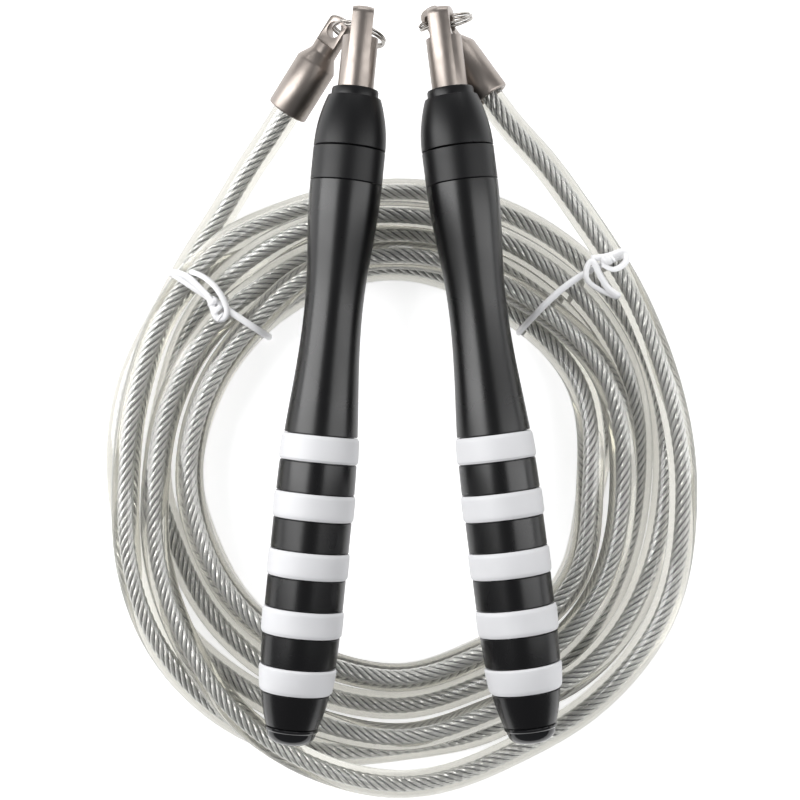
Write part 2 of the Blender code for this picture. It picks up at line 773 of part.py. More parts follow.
def twist_tie(name, side):
    """Wire tie round the coil's section, its two ends standing out side by side."""
    stand = FIT_GAP + TIE_RADIUS
    high = COIL_HEIGHT + stand
    near = COIL_INNER_RADIUS - stand
    far = COIL_OUTER_RADIUS + stand
    bend = TIE_BEND_RADIUS
    foot = TIE_FOOT_RADIUS
    crown = ROPE_DIAMETER / 2 + stand
    split = 2 * TIE_RADIUS + FIT_GAP
    middle = COIL_HEIGHT / 2
    stub = far + TIE_STUB_LENGTH
    knots = [(stub, middle + split / 2)]
    arc_steps = round(90.0 / TIE_POINT_ANGLE)
    for radius, height, bend_radius, start, turning in (
            (far + bend, middle + split / 2 + bend, bend, 270.0, -1.0),
            (far - crown, high - crown, crown, 0.0, 1.0),
            (near + crown, high - crown, crown, 90.0, 1.0),
            (near + foot, stand + foot, foot, 180.0, 1.0),
            (far - foot, stand + foot, foot, 270.0, 1.0),
            (far + bend, middle - split / 2 - bend, bend, 180.0, -1.0)):
        for i in range(arc_steps + 1):
            turn = math.radians(start + turning * TIE_POINT_ANGLE * i)
            knots.append((radius + bend_radius * math.cos(turn), height + bend_radius * math.sin(turn)))
    knots.append((stub, middle - split / 2))
    turn = math.radians(side["tie_angle"])
    outward = Vector((math.cos(turn), math.sin(turn), 0.0))
    points = [COIL_CENTRE + outward * radius + Vector((0.0, 0.0, height)) for radius, height in knots]
    return wire(name, points, TIE_RADIUS)


# Assembly

def make_finishes():
    return {
        "grip": material("moulded_grip", (0.012, 0.011, 0.012), 0.42),
        "matte": material("matte_collar", (0.020, 0.020, 0.021), 0.60),
        "plug": material("gloss_plug", (0.010, 0.010, 0.011), 0.20),
        "band": material("rubber_band", (0.78, 0.78, 0.80), 0.55),
        "steel": material("satin_steel", (0.56, 0.53, 0.50), 0.30, 1.0),
        "bearing": material("bearing_steel", (0.62, 0.62, 0.62), 0.20, 1.0),
        "cage": material("cage_brass", (0.70, 0.52, 0.25), 0.35, 1.0),
        "ring": material("polished_ring", (0.66, 0.65, 0.63), 0.18, 1.0),
        "rope": material("clear_rope", (0.62, 0.61, 0.58), 0.25),
        "tie": material("white_tie", (0.85, 0.85, 0.86), 0.50),
    }


def add(obj, finish, parent, matrix):
    """Dress a finished piece and hang it on its joint."""
    dress(obj, finish)
    attach(obj, parent, matrix)


def add_bearing(prefix, setback, finishes, fixed, turning, cage_axis, frames):
    """Add one ball bearing: races on the shaft and in the housing, cage on its own axis."""
    spindle_matrix, handle_matrix = frames
    add(inner_race(prefix + "_inner_race", setback), finishes["bearing"], fixed, spindle_matrix)
    add(outer_race(prefix + "_outer_race", setback), finishes["bearing"], turning, handle_matrix)
    add(ball_cage(prefix + "_ball_cage", setback), finishes["cage"], cage_axis, handle_matrix)


def build_handle(key, side, finishes):
    """Build one handle with its spindle, bearings and split ring."""
    frame = handle_frame(side)
    rolled = frame @ Matrix.Rotation(math.radians(-side["tang_roll"]), 4, "Z")
    swing = pivot(key + "_ring_pivot", swing_frame(side))
    lift = pivot(key + "_spindle_pivot", lift_frame(side), swing)
    cages = pivot(key + "_cage_axis", frame, lift)
    spin = pivot(key + "_handle_axis", frame, lift)
    add(key_ring(key + "_key_ring"), finishes["ring"], swing, ring_frame(side))
    add(spindle(key + "_spindle"), finishes["steel"], lift, rolled)
    spacer = washer_profile(JOURNAL_RADIUS + PRESS_GAP, SPACER_RADIUS, SPACER_START,
                            SPACER_START + SPACER_LENGTH)
    add(turned(key + "_spacer", spacer), finishes["steel"], lift, rolled)
    washer = washer_profile(JOURNAL_RADIUS + FIT_GAP, WASHER_RADIUS, WASHER_START,
                            WASHER_START + WASHER_THICKNESS)
    add(turned(key + "_thrust_washer", washer), finishes["steel"], lift, rolled)
    add(lock_nut(key + "_lock_nut"), finishes["steel"], lift, rolled)
    for place, setback in (("front", BEARING_SETBACK), ("rear", REAR_BEARING_SETBACK)):
        add_bearing(key + "_" + place, setback, finishes, lift, spin, cages, (rolled, frame))
    add(nose_collar(key + "_nose_collar"), finishes["matte"], spin, frame)
    add(bearing_housing(key + "_bearing_housing"), finishes["matte"], spin, frame)
    add(handle_body(key + "_handle_body"), finishes["grip"], spin, frame)
    for number, station in enumerate(band_stations(), start=1):
        add(grip_band(f"{key}_grip_band_{number}", station), finishes["band"], spin, frame)
    add(end_plug(key + "_end_plug"), finishes["plug"], spin, frame)


def build_rope(finishes):
    """Build the coil, its ties, the tails and the ferrules."""
    dress(rope_coil("rope_coil"), finishes["rope"])
    for key, side in SIDES.items():
        dress(rope_tail(key + "_rope_tail", side), finishes["rope"])
        dress(twist_tie(key + "_twist_tie", side), finishes["tie"])
        add(ferrule(key + "_ferrule"), finishes["steel"], None, ferrule_frame(side))


def main():
    clear_scene()
    finishes = make_finishes()
    build_rope(finishes)
    for key, side in SIDES.items():
        build_handle(key, side, finishes)


main()
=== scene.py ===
"""Jump rope: a coiled, clear-sheathed wire rope with two ball-bearing handles, dressed on its CAD frame."""

import json
import logging
import math
from dataclasses import dataclass
from enum import Enum
from typing import Optional, Sequence

import bpy
import numpy as np
from mathutils import Matrix, Vector


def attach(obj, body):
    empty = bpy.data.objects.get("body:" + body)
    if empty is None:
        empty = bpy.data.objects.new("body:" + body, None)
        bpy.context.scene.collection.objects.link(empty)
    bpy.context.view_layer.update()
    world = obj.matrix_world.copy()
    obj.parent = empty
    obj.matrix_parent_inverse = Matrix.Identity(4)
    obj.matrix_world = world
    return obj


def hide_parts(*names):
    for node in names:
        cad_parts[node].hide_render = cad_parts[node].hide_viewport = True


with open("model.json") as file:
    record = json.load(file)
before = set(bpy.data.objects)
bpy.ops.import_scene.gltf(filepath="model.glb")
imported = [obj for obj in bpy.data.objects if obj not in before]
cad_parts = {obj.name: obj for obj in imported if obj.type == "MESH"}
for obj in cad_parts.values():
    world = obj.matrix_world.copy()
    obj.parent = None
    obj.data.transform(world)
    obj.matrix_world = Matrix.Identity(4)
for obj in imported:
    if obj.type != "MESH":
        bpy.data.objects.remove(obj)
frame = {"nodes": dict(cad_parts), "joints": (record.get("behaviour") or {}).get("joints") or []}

LOG = logging.getLogger("jump_rope")
MM = 0.001
UP = Vector((0.0, 0.0, 1.0))

Profile = Sequence[tuple[float, float]]


class Side(Enum):
    """The two ends of the rope, by the side that their handle lies on."""

    LEFT = "left"
    RIGHT = "right"


class Lay(Enum):
    """Which way wires are laid up, as a sign for the helix."""

    RIGHT_HAND = 1.0
    LEFT_HAND = -1.0


# Numbers and places

def linear(code: str) -> tuple[float, float, float, float]:
    """Turn an sRGB hex colour into linear RGBA.

    Args:
        code: the colour as "#RRGGBB".

    Returns:
        Linear red, green and blue, and an alpha of one.
    """
    channels = [int(code[i:i + 2], 16) / 255.0 for i in (1, 3, 5)]
    toned = [c / 12.92 if c <= 0.04045 else ((c + 0.055) / 1.055) ** 2.4 for c in channels]
    return (toned[0], toned[1], toned[2], 1.0)


def joint(name: str) -> dict:
    """Return the CAD's joint of that name."""
    return next(j for j in frame["joints"] if j["name"] == name)


def placed(origin: Vector, x_axis: Vector, z_axis: Vector) -> Matrix:
    """Make a frame from an origin and two directions.

    Args:
        origin: where the frame stands.
        x_axis: the direction that X keeps as near to as it can.
        z_axis: the direction of Z.

    Returns:
        The frame as a matrix.
    """
    z_axis = z_axis.normalized()
    x_axis = (x_axis - z_axis * x_axis.dot(z_axis)).normalized()
    turn = Matrix((x_axis, z_axis.cross(x_axis), z_axis)).transposed()
    return Matrix.Translation(origin) @ turn.to_4x4()


def heading(yaw: float) -> Vector:
    """Return the level direction that leans from +Y towards +X by yaw degrees."""
    turn = math.radians(yaw)
    return Vector((math.sin(turn), math.cos(turn), 0.0))


def eased(knots: np.ndarray, values: np.ndarray, places: np.ndarray) -> np.ndarray:
    """Read a smooth curve through unevenly spaced knots.

    Args:
        knots: where each value is known, rising.
        values: one value, or one row of values, for each knot.
        places: where to read the curve.

    Returns:
        The curve's values at those places, by cubic Hermite spans.
    """
    values = values.reshape(len(knots), -1)
    slopes = np.gradient(values, knots, axis=0)
    span = np.clip(np.searchsorted(knots, places, side="right") - 1, 0, len(knots) - 2)
    width = (knots[span + 1] - knots[span])[:, None]
    t = ((places - knots[span])[:, None]) / width
    low, high = values[span], values[span + 1]
    rise_low, rise_high = slopes[span] * width, slopes[span + 1] * width
    return (low * (2 * t ** 3 - 3 * t ** 2 + 1) + rise_low * (t ** 3 - 2 * t ** 2 + t)
            + high * (3 * t ** 2 - 2 * t ** 3) + rise_high * (t ** 3 - t ** 2))


def respaced(line: np.ndarray, spacing: float) -> np.ndarray:
    """Return the same line with its points an even distance apart.

    Args:
        line: points as rows.
        spacing: the distance wanted between points.

    Returns:
        The new points as rows.
    """
    steps = np.linalg.norm(np.diff(line, axis=0), axis=1)
    run = np.concatenate(([0.0], np.cumsum(steps)))
    count = max(int(round(run[-1] / spacing)), 2)
    return eased(run, line, np.linspace(0.0, run[-1], count + 1))


def softened(line: np.ndarray, passes: int) -> np.ndarray:
    """Return a line with its kinks eased and its two ends kept.

    Args:
        line: points as rows.
        passes: how many times each point moves towards its neighbours.

    Returns:
        The eased points as rows.
    """
    line = line.copy()
    for _ in range(passes):
        line[1:-1] += 0.25 * (line[:-2] + line[2:] - 2 * line[1:-1])
    return line


def frames_along(line: np.ndarray) -> tuple[np.ndarray, np.ndarray]:
    """Carry a pair of cross directions along a line without twisting them.

    Args:
        line: points as rows.

    Returns:
        Two unit directions across the line at each point, as rows.
    """
    tangents = np.gradient(line, axis=0)
    tangents /= np.linalg.norm(tangents, axis=1)[:, None]
    across = np.empty_like(line)
    first = np.cross(tangents[0], (0.0, 0.0, 1.0))
    across[0] = first / np.linalg.norm(first)
    for i in range(1, len(line)):
        carried = across[i - 1] - tangents[i] * np.dot(across[i - 1], tangents[i])
        across[i] = carried / np.linalg.norm(carried)
    return across, np.cross(tangents, across)


# Meshes

def new_piece(name: str, mesh: bpy.types.Mesh) -> bpy.types.Object:
    """Link a mesh into the scene as a piece of its own.

    Args:
        name: the piece's name.
        mesh: its mesh.

    Returns:
        The piece.
    """
    piece = bpy.data.objects.new(name, mesh)
    bpy.context.scene.collection.objects.link(piece)
    return piece


def grid_mesh(name: str, points: np.ndarray, caps: bool = True,
              rows: Optional[np.ndarray] = None) -> bpy.types.Mesh:
    """Skin rings of points, with a UV that runs once round and along in metres.

    Args:
        name: the mesh's name.
        points: an array of ring, point round the ring, and coordinate.
        caps: whether the two ends are closed.
        rows: V for each ring, or None for its number.

    Returns:
        The mesh, shaded smooth.
    """
    count, sides = points.shape[:2]
    ring, place = np.meshgrid(np.arange(count - 1), np.arange(sides), indexing="ij")
    after = (place + 1) % sides
    faces = np.stack((ring * sides + place, ring * sides + after, (ring + 1) * sides + after,
                      (ring + 1) * sides + place), axis=-1).reshape(-1, 4).tolist()
    if caps:
        faces += [list(range(sides))[::-1], [(count - 1) * sides + i for i in range(sides)]]
    mesh = bpy.data.meshes.new(name)
    mesh.from_pydata(points.reshape(-1, 3).tolist(), [], faces)
    along = np.arange(count, dtype=float) if rows is None else rows
    u_low, u_high = place / sides, (place + 1) / sides
    v_low, v_high = along[ring], along[ring + 1]
    loops = np.stack((u_low, v_low, u_high, v_low, u_high, v_high, u_low, v_high), axis=-1).reshape(-1)
    layer = mesh.uv_layers.new(name="lay")
    values = np.zeros(len(mesh.loops) * 2, np.float32)
    values[:len(loops)] = loops
    layer.data.foreach_set("uv", values)
    mesh.shade_smooth()
    return mesh


def tube_rings(line: np.ndarray, radius: float, sides: int,
               outward: Optional[np.ndarray] = None) -> np.ndarray:
    """Return rings of points round a line.

    Args:
        line: the centre line, points as rows.
        radius: the tube's radius.
        sides: points round each ring.
        outward: the direction that each ring starts from, or None for one carried along without twist.

    Returns:
        An array of ring, point round the ring, and coordinate.
    """
    if outward is None:
        across, above = frames_along(line)
    else:
        tangents = np.gradient(line, axis=0)
        tangents /= np.linalg.norm(tangents, axis=1)[:, None]
        across = outward - tangents * np.sum(outward * tangents, axis=1)[:, None]
        across /= np.linalg.norm(across, axis=1)[:, None]
        above = np.cross(tangents, across)
    turn = np.linspace(0.0, 2 * math.pi, sides, endpoint=False)
    return (line[:, None] + radius * (np.cos(turn)[None, :, None] * across[:, None]
                                      + np.sin(turn)[None, :, None] * above[:, None]))


def run_lengths(line: np.ndarray) -> np.ndarray:
    """Return how far along the line each point lies."""
    return np.concatenate(([0.0], np.cumsum(np.linalg.norm(np.diff(line, axis=0), axis=1))))


def turned(name: str, profile: Profile, steps: int = 128, closed: bool = True) -> bpy.types.Object:
    """Turn a profile about local Z.

    Args:
        name: the piece's name.
        profile: (radius, height) points, down the outer side first.
        steps: facets round the piece.
        closed: whether the profile joins up with its own start; if not, its ends lie on the axis.

    Returns:
        The piece, at the origin.
    """
    outline = list(profile) + ([profile[0]] if closed else [])
    turn = np.linspace(0.0, 2 * math.pi, steps, endpoint=False)
    rings = np.array([[(r * math.cos(t), r * math.sin(t), z) for t in turn] for r, z in outline])
    mesh = grid_mesh(name, rings, caps=False)
    piece = new_piece(name, mesh)
    weld = piece.modifiers.new("weld", "WELD")
    weld.merge_threshold = 1e-6
    return baked(piece)


def block(name: str, size: Sequence[float], centre: Sequence[float]) -> bpy.types.Object:
    """Make a plain block, for cutting flats.

    Args:
        name: the block's name.
        size: its width, depth and height.
        centre: its centre.

    Returns:
        The block.
    """
    corners = [Vector(((x - 0.5) * size[0], (y - 0.5) * size[1], (z - 0.5) * size[2])) + Vector(centre)
               for x in (0, 1) for y in (0, 1) for z in (0, 1)]
    faces = [(0, 1, 3, 2), (4, 6, 7, 5), (0, 4, 5, 1), (2, 3, 7, 6), (0, 2, 6, 4), (1, 5, 7, 3)]
    mesh = bpy.data.meshes.new(name)
    mesh.from_pydata(corners, [], faces)
    return new_piece(name, mesh)


def bar(name: str, radius: float, length: float, height: float, steps: int = 48) -> bpy.types.Object:
    """Make a round bar along X at a height, for drilling."""
    line = np.array([(-length / 2, 0.0, height), (length / 2, 0.0, height)])
    return new_piece(name, grid_mesh(name, tube_rings(line, radius, steps)))


def baked(piece: bpy.types.Object, sharp: float = 30.0) -> bpy.types.Object:
    """Apply a piece's modifiers and shade it smooth up to an angle.

    Args:
        piece: the piece to change.
        sharp: the angle in degrees above which an edge stays crisp.

    Returns:
        The same piece.
    """
    bpy.context.view_layer.update()
    graph = bpy.context.evaluated_depsgraph_get()
    mesh = bpy.data.meshes.new_from_object(piece.evaluated_get(graph))
    mesh.shade_smooth()
    mesh.set_sharp_from_angle(angle=math.radians(sharp))
    mesh.name = piece.name
    piece.modifiers.clear()
    piece.data = mesh
    return piece


def cut(piece: bpy.types.Object, tools: Sequence[bpy.types.Object], ease: float) -> bpy.types.Object:
    """Cut a piece with tools, then break the new edges.

    Args:
        piece: the piece to cut.
        tools: the cutting shapes, used up.
        ease: the width of the small bevel on sharp edges.

    Returns:
        The same piece.
    """
    for tool in tools:
        step = piece.modifiers.new("cut", "BOOLEAN")
        step.operation = "DIFFERENCE"
        step.solver = "EXACT"
        step.object = tool
    baked(piece)
    for tool in tools:
        bpy.data.objects.remove(tool, do_unlink=True)
    bevel = piece.modifiers.new("break_edges", "BEVEL")
    bevel.width = ease
    bevel.segments = 2
    bevel.limit_method = "ANGLE"
    bevel.angle_limit = math.radians(35.0)
    bevel.harden_normals = False
    return baked(piece)


# Finishes

def add_node(tree: bpy.types.NodeTree, kind: str, settings: Optional[dict] = None,
             links: Optional[dict] = None) -> bpy.types.Node:
    """Add a shader node.

    Args:
        tree: the material's node tree.
        kind: the node's type.
        settings: values for its properties, or for its inputs by name or number.
        links: for inputs by name or number, the output socket that feeds each.

    Returns:
        The node.
    """
    node = tree.nodes.new(kind)
    for key, value in (settings or {}).items():
        if isinstance(key, str) and hasattr(node, key):
            setattr(node, key, value)
        else:
            node.inputs[key].default_value = value
    for key, socket in (links or {}).items():
        tree.links.new(socket, node.inputs[key])
    return node


@dataclass(frozen=True)
class Finish:
    """A surface finish, with the values that its shader starts from.

    Attributes:
        name: the material's name.
        slot: the record's material slot; not used by this script.
        colour: the base colour, as sRGB hex.
        roughness: the middle roughness.
        metallic: 1 for bare metal, 0 otherwise.
    """

    name: str
    slot: str
    colour: str
    roughness: float
    metallic: float = 0.0

    def start(self) -> tuple[bpy.types.Material, bpy.types.NodeTree, bpy.types.Node]:
        """Make the material and set the shader's own sockets.

        Returns:
            The material, its node tree and its Principled shader.
        """
        material = bpy.data.materials.new(self.name)
        material.use_nodes = True
        tree = material.node_tree
        shader = tree.nodes["Principled BSDF"]
        shader.inputs["Base Color"].default_value = linear(self.colour)
        shader.inputs["Roughness"].default_value = self.roughness
        shader.inputs["Metallic"].default_value = self.metallic
        return material, tree, shader

    def material(self) -> bpy.types.Material:
        """Return the finished material."""
        return self.start()[0]

    def put_on(self, *pieces: bpy.types.Object) -> None:
        """Dress pieces in this finish.

        Args:
            pieces: the pieces to dress; a CAD node keeps its mesh and gets the material.
        """
        material = bpy.data.materials.get(self.name) or self.material()
        for piece in pieces:
            if piece.data.materials:
                for i in range(len(piece.data.materials)):
                    piece.data.materials[i] = material
            else:
                piece.data.materials.append(material)


@dataclass(frozen=True)
class ClearVinyl(Finish):
    """Extruded clear PVC: glassy, faintly warm, with fine draw lines along its length.

    Attributes:
        ior: refractive index of plasticised PVC.
        clarity: share of light that passes straight through, the rest being its milkiness.
        depth_colour: the tint that a thick run of it gives.
        depth_density: how strongly it tints, per metre.
        line_spacing_mm: distance between draw lines round the sheath, coarser than real so they show.
        line_depth_mm: how deep the draw lines are.
    """

    ior: float = 1.53
    clarity: float = 0.90
    depth_colour: str = "#CDCBBB"
    depth_density: float = 62.0
    line_spacing_mm: float = 1.2
    line_depth_mm: float = 0.012

    def material(self) -> bpy.types.Material:
        """Make the material.

        Returns:
            Clear vinyl with draw lines along it and a tint that deepens with its thickness.
        """
        material, tree, shader = self.start()
        shader.inputs["Transmission Weight"].default_value = self.clarity
        shader.inputs["IOR"].default_value = self.ior
        place = add_node(tree, "ShaderNodeUVMap", {"uv_map": "lay"})
        around = math.pi * 9.0 / self.line_spacing_mm
        stretched = add_node(tree, "ShaderNodeMapping", {"Scale": (around, 25.0, 1.0)},
                             {"Vector": place.outputs["UV"]})
        lines = add_node(tree, "ShaderNodeTexNoise", {"Scale": 1.0, "Detail": 2.0},
                         {"Vector": stretched.outputs[0]})
        bump = add_node(tree, "ShaderNodeBump", {"Strength": 1.0, "Distance": self.line_depth_mm * MM},
                        {"Height": lines.outputs["Fac"]})
        tree.links.new(bump.outputs["Normal"], shader.inputs["Normal"])
        depth = add_node(tree, "ShaderNodeVolumeAbsorption",
                         {"Color": linear(self.depth_colour), "Density": self.depth_density})
        tree.links.new(depth.outputs["Volume"], tree.nodes["Material Output"].inputs["Volume"])
        return material


@dataclass(frozen=True)
class StrandedSteel(Finish):
    """Galvanised steel strands: bright crowns, with painted shade in the dark valleys between strands and
    between their wires.

    Attributes:
        painted_valley_shade: colour of the painted shade between strands and between their wires, with some
            grease.
        wires: wires round each strand.
        wire_lay_mm: length of one turn of the wires in a strand.
        wire_depth_mm: depth of the valley between two wires.
    """

    painted_valley_shade: str = "#3E4248"
    wires: int = 6
    wire_lay_mm: float = 9.0
    wire_depth_mm: float = 0.04

    def material(self) -> bpy.types.Material:
        """Make the material.

        Returns:
            Steel with wires drawn round each strand, and painted shade in the valleys between strands and
            between wires.
        """
        material, tree, shader = self.start()
        place = add_node(tree, "ShaderNodeUVMap", {"uv_map": "lay"})
        parts = add_node(tree, "ShaderNodeSeparateXYZ", {}, {0: place.outputs["UV"]})
        round_turns = add_node(tree, "ShaderNodeMath", {"operation": "MULTIPLY", 1: 2 * math.pi * self.wires},
                               {0: parts.outputs["X"]})
        along_turns = add_node(tree, "ShaderNodeMath",
                               {"operation": "MULTIPLY",
                                1: 2 * math.pi * self.wires / (self.wire_lay_mm * MM)},
                               {0: parts.outputs["Y"]})
        phase = add_node(tree, "ShaderNodeMath", {"operation": "ADD"},
                         {0: round_turns.outputs[0], 1: along_turns.outputs[0]})
        wave = add_node(tree, "ShaderNodeMath", {"operation": "COSINE"}, {0: phase.outputs[0]})
        height = add_node(tree, "ShaderNodeMapRange", {"From Min": -1.0, "From Max": 1.0},
                          {"Value": wave.outputs[0]})
        # Painted shade: each strand's colour darkens from its bright outward crown towards its sides, where
        # it meets its neighbours, and in the grooves between its wires.
        outward = add_node(tree, "ShaderNodeMath", {"operation": "MULTIPLY", 1: 2 * math.pi},
                           {0: parts.outputs["X"]})
        crown = add_node(tree, "ShaderNodeMath", {"operation": "COSINE"}, {0: outward.outputs[0]})
        lit = add_node(tree, "ShaderNodeMath", {"operation": "MULTIPLY_ADD", 1: 0.25},
                       {0: height.outputs[0], 2: crown.outputs[0]})
        mix = add_node(tree, "ShaderNodeMapRange", {"From Min": -0.1, "From Max": 0.8},
                       {"Value": lit.outputs[0]})
        colour = add_node(tree, "ShaderNodeMix",
                          {"data_type": "RGBA", 6: linear(self.painted_valley_shade), 7: linear(self.colour)},
                          {0: mix.outputs[0]})
        tree.links.new(colour.outputs[2], shader.inputs["Base Color"])
        bump = add_node(tree, "ShaderNodeBump", {"Strength": 1.0, "Distance": self.wire_depth_mm * MM},
                        {"Height": height.outputs[0]})
        tree.links.new(bump.outputs["Normal"], shader.inputs["Normal"])
        return material


@dataclass(frozen=True)
class MachinedSteel(Finish):
    """Turned or drawn stainless steel: fine marks round its axis and a few handling scuffs.

    Attributes:
        mark_spacing_mm: feed of the turning tool, drawn coarser than the real 0.1 mm so it shows.
        mark_depth_mm: how deep the turning marks are.
        scuff: how much roughness the scuffs add.
    """

    mark_spacing_mm: float = 0.35
    mark_depth_mm: float = 0.003
    scuff: float = 0.10

    def material(self) -> bpy.types.Material:
        """Make the material.

        Returns:
            Steel with turning marks along local Z and blotched roughness.
        """
        material, tree, shader = self.start()
        place = add_node(tree, "ShaderNodeTexCoord")
        marks = add_node(tree, "ShaderNodeTexWave",
                         {"wave_type": "BANDS", "bands_direction": "Z",
                          "Scale": math.pi / (10 * self.mark_spacing_mm * MM),
                          "Distortion": 1.5, "Detail": 2.0}, {"Vector": place.outputs["Object"]})
        bump = add_node(tree, "ShaderNodeBump", {"Strength": 1.0, "Distance": self.mark_depth_mm * MM},
                        {"Height": marks.outputs["Fac"]})
        scuffs = add_node(tree, "ShaderNodeTexNoise", {"Scale": 260.0, "Detail": 4.0, "Roughness": 0.6},
                          {"Vector": place.outputs["Object"]})
        rough = add_node(tree, "ShaderNodeMapRange",
                         {"From Min": 0.35, "From Max": 0.7, "To Min": self.roughness,
                          "To Max": self.roughness + self.scuff}, {"Value": scuffs.outputs["Fac"]})
        tree.links.new(rough.outputs[0], shader.inputs["Roughness"])
        tree.links.new(bump.outputs["Normal"], shader.inputs["Normal"])
        return material


@dataclass(frozen=True)
class MouldedPlastic(Finish):
    """Injection-moulded plastic: an even spark grain, with smoother patches where hands have polished it.

    Attributes:
        grain_mm: size of the mould's grain, drawn coarser than the real 0.1 mm so it shows.
        grain_depth_mm: how deep the grain is.
        polish: how much smoother the handled patches are.
        wear: colour of the slightly rubbed patches.
        sheen: strength of the surface reflection, 0.5 for plain plastic and less for a dull skin.
    """

    grain_mm: float = 0.45
    grain_depth_mm: float = 0.008
    polish: float = 0.06
    wear: str = "#202022"
    sheen: float = 0.5

    def material(self) -> bpy.types.Material:
        """Make the material.

        Returns:
            Plastic with grain and handled patches.
        """
        material, tree, shader = self.start()
        shader.inputs["Specular IOR Level"].default_value = self.sheen
        place = add_node(tree, "ShaderNodeTexCoord")
        grain = add_node(tree, "ShaderNodeTexNoise", {"Scale": 1.0 / (self.grain_mm * MM), "Detail": 1.0},
                         {"Vector": place.outputs["Object"]})
        bump = add_node(tree, "ShaderNodeBump", {"Strength": 1.0, "Distance": self.grain_depth_mm * MM},
                        {"Height": grain.outputs["Fac"]})
        patches = add_node(tree, "ShaderNodeTexNoise", {"Scale": 45.0, "Detail": 3.0},
                           {"Vector": place.outputs["Object"]})
        rough = add_node(tree, "ShaderNodeMapRange",
                         {"From Min": 0.35, "From Max": 0.65, "To Min": self.roughness + self.polish / 2,
                          "To Max": self.roughness - self.polish / 2}, {"Value": patches.outputs["Fac"]})
        share = add_node(tree, "ShaderNodeMapRange", {"From Min": 0.45, "From Max": 0.75},
                         {"Value": patches.outputs["Fac"]})
        colour = add_node(tree, "ShaderNodeMix",
                          {"data_type": "RGBA", 6: linear(self.colour), 7: linear(self.wear)},
                          {0: share.outputs[0]})
        tree.links.new(colour.outputs[2], shader.inputs["Base Color"])
        tree.links.new(rough.outputs[0], shader.inputs["Roughness"])
        tree.links.new(bump.outputs["Normal"], shader.inputs["Normal"])
        return material


# PVC as extruded: the eye gets bright refracted rims and a magnified view of the wire.
CLEAR_SHEATH = ClearVinyl("extruded_clear_pvc", "clear_sheath", "#F5F4F1", 0.05)
# Zinc-coated wire as drawn and laid: silvery, with painted shade in the valleys between strands and between
# wires.
WIRE_STRANDS = StrandedSteel("laid_galvanised_wire", "satin_steel", "#F6F7F8", 0.38, 0.85)
# Stainless bar as turned: soft highlights with faint rings.
TURNED_STEEL = MachinedSteel("turned_stainless", "satin_steel", "#958D87", 0.34, 1.0)
# Spring wire as polished: small sharp highlights.
RING_STEEL = MachinedSteel("polished_spring_wire", "polished_ring", "#98948F", 0.13, 1.0,
                           mark_depth_mm=0.0008)
# Bearing rings as ground: bright and even.
RACE_STEEL = MachinedSteel("ground_bearing_steel", "bearing_steel", "#C4C4C4", 0.18, 1.0, mark_depth_mm=0.001)
# Pressed brass cage: warm satin.
CAGE_BRASS = MachinedSteel("pressed_brass", "cage_brass", "#C79B4E", 0.35, 1.0, mark_depth_mm=0.001)
# Satin ABS grip: a broad soft sheen on near black.
GRIP_PLASTIC = MouldedPlastic("moulded_black_abs", "satin_grip", "#070708", 0.28, wear="#0B0A0C", sheen=0.42)
# Spark-eroded nylon nose: duller than the grip.
NOSE_PLASTIC = MouldedPlastic("moulded_matte_nylon", "matte_collar", "#070709", 0.40, grain_depth_mm=0.010,
                              wear="#0B0B0D",
                              sheen=0.34)
# Polished ABS plug: a mirror-like rim light.
PLUG_PLASTIC = MouldedPlastic("polished_black_abs", "gloss_plug", "#0E0E10", 0.12, grain_depth_mm=0.001,
                              polish=0.03,
                              wear="#131315")
# White silicone bands: soft and even with a trace of dust.
BAND_RUBBER = MouldedPlastic("moulded_white_silicone", "band_rubber", "#D8D8DA", 0.50, grain_depth_mm=0.004,
                             wear="#D0D0D2")
# Vinyl-coated tie wire: plain white with a slight gloss.
TIE_VINYL = MouldedPlastic("coated_tie_wire", "white_tie", "#F4F4F5", 0.38, grain_depth_mm=0.006,
                           wear="#EEEEF0")


# Where the two ends stand

